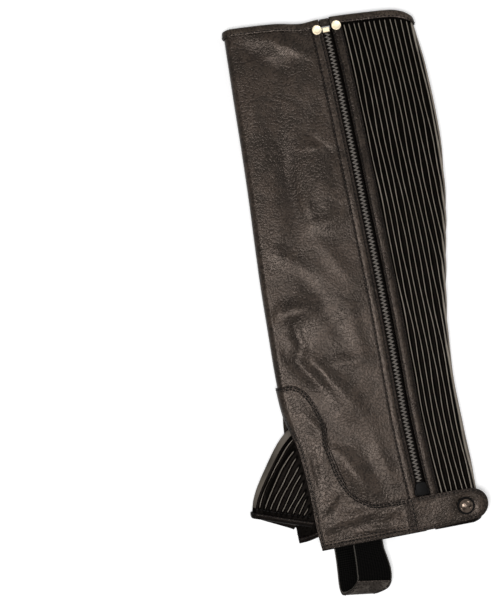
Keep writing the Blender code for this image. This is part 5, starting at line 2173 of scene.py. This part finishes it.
@dataclass(frozen=True)
class Studio:
    """A pale floor, soft boxes round the chap and a camera that looks straight down."""

    middle: tuple[float, float] = (-92.4, 201.5)  # u and v at the middle of the view
    seen_height: float = 515.0
    camera_height: float = 1.31  # metres, as the next two are, and the floor's
    sharp_at: float = 0.01  # half the height of the chap
    floor_size: float = 6.0
    floor_drop: float = 0.0005
    sensor: float = 24.0
    roll: float = -11.0
    world: float = 0.16
    floor_glow: float = 0.3
    boxes: tuple[Softbox, ...] = (
        Softbox("softbox_shin", 200, 77, 0.42, 12.5),
        Softbox("softbox_calf", 30, 55, 0.4, 3.5),
        Softbox("softbox_foot", 275, 82, 0.4, 6.5),
        Softbox("window_left", 222, 38, 0.24, 2.0),
        Softbox("window_right", 318, 42, 0.16, 1.0),
    )

    def build(self) -> None:
        """Makes the floor, the lights, the world and the camera."""
        self.floor()
        for box in self.boxes:
            self.light(box)
        self.sky()
        self.camera()

    def floor(self) -> None:
        """A large plain sheet that stays white where no shadow falls."""
        shape = bmesh.new()
        bmesh.ops.create_grid(shape, x_segments=1, y_segments=1, size=self.floor_size)
        bmesh.ops.translate(shape, verts=shape.verts, vec=(0, 0, -self.floor_drop))
        floor = new_object("studio_floor", shape)
        material = bpy.data.materials.new("matt_white_board")
        material.use_nodes = True
        tree = material.node_tree
        tree.nodes.clear()
        board = add_node(tree, "BsdfDiffuse", {"Color": "#F4F4F4"})
        lift = add_node(tree, "Math", {0: background_rays(tree), 1: self.floor_glow}, operation="MULTIPLY")
        glow = add_node(tree, "Emission", {"Color": "#FFFFFF", "Strength": lift})
        both = add_node(tree, "AddShader", {0: board, 1: glow})
        add_node(tree, "OutputMaterial", {"Surface": both})
        floor.data.materials.append(material)

    def light(self, box: Softbox) -> None:
        """One soft box.

        Args:
            box: its place, size and power.
        """
        bearing, height = math.radians(box.bearing), math.radians(box.height)
        level = math.cos(height)
        direction = Vector((math.cos(bearing) * level, math.sin(bearing) * level, math.sin(height)))
        lamp = bpy.data.lights.new(box.name, "AREA")
        lamp.shape, lamp.size, lamp.energy = "SQUARE", box.size, box.power
        obj = bpy.data.objects.new(box.name, lamp)
        obj.location = direction * box.distance
        obj.rotation_euler = direction.to_track_quat("Z", "Y").to_euler()
        bpy.context.scene.collection.objects.link(obj)

    def sky(self) -> None:
        """An even room, seen as white."""
        world = bpy.data.worlds.new("white_studio")
        world.use_nodes = True
        tree = world.node_tree
        tree.nodes.clear()
        strength = add_node(tree, "Mix", {0: background_rays(tree), 2: self.world, 3: 1.0}, data_type="FLOAT")
        background = add_node(tree, "Background", {"Color": "#FFFFFF", "Strength": strength})
        add_node(tree, "OutputWorld", {"Surface": background})
        bpy.context.scene.world = world

    def camera(self) -> None:
        """A long lens straight over the view's middle."""
        lens = bpy.data.cameras.new("over_table")
        lens.sensor_fit, lens.sensor_height = "VERTICAL", self.sensor
        lens.lens = self.sensor * (self.camera_height - self.sharp_at) / (self.seen_height * MM)
        camera = bpy.data.objects.new("over_table", lens)
        across, along = ((place - start) * MM for place, start in zip(self.middle, ORIGIN))
        camera.location = (across, along, self.camera_height)
        camera.rotation_euler = (0, 0, math.radians(self.roll))
        bpy.context.scene.collection.objects.link(camera)
        bpy.context.scene.camera = camera


def main() -> None:
    """Builds and dresses every part of the chap, and lights it."""
    logging.basicConfig(level=logging.INFO, format="%(message)s")
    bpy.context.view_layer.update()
    bpy.context.scene.view_settings.view_transform = "Standard"
    leg = Leg()
    kinds = (MainPanel, AnkleWrap, ZipFastening, StretchCalf, Bindings, InstepGusset, Stirrup, Fastenings)
    assemblies = [kind(leg) for kind in kinds]
    for assembly in assemblies:
        assembly.build()
    for assembly in assemblies:
        assembly.dress()
    Studio().build()


if __name__ == "__main__":
    main()
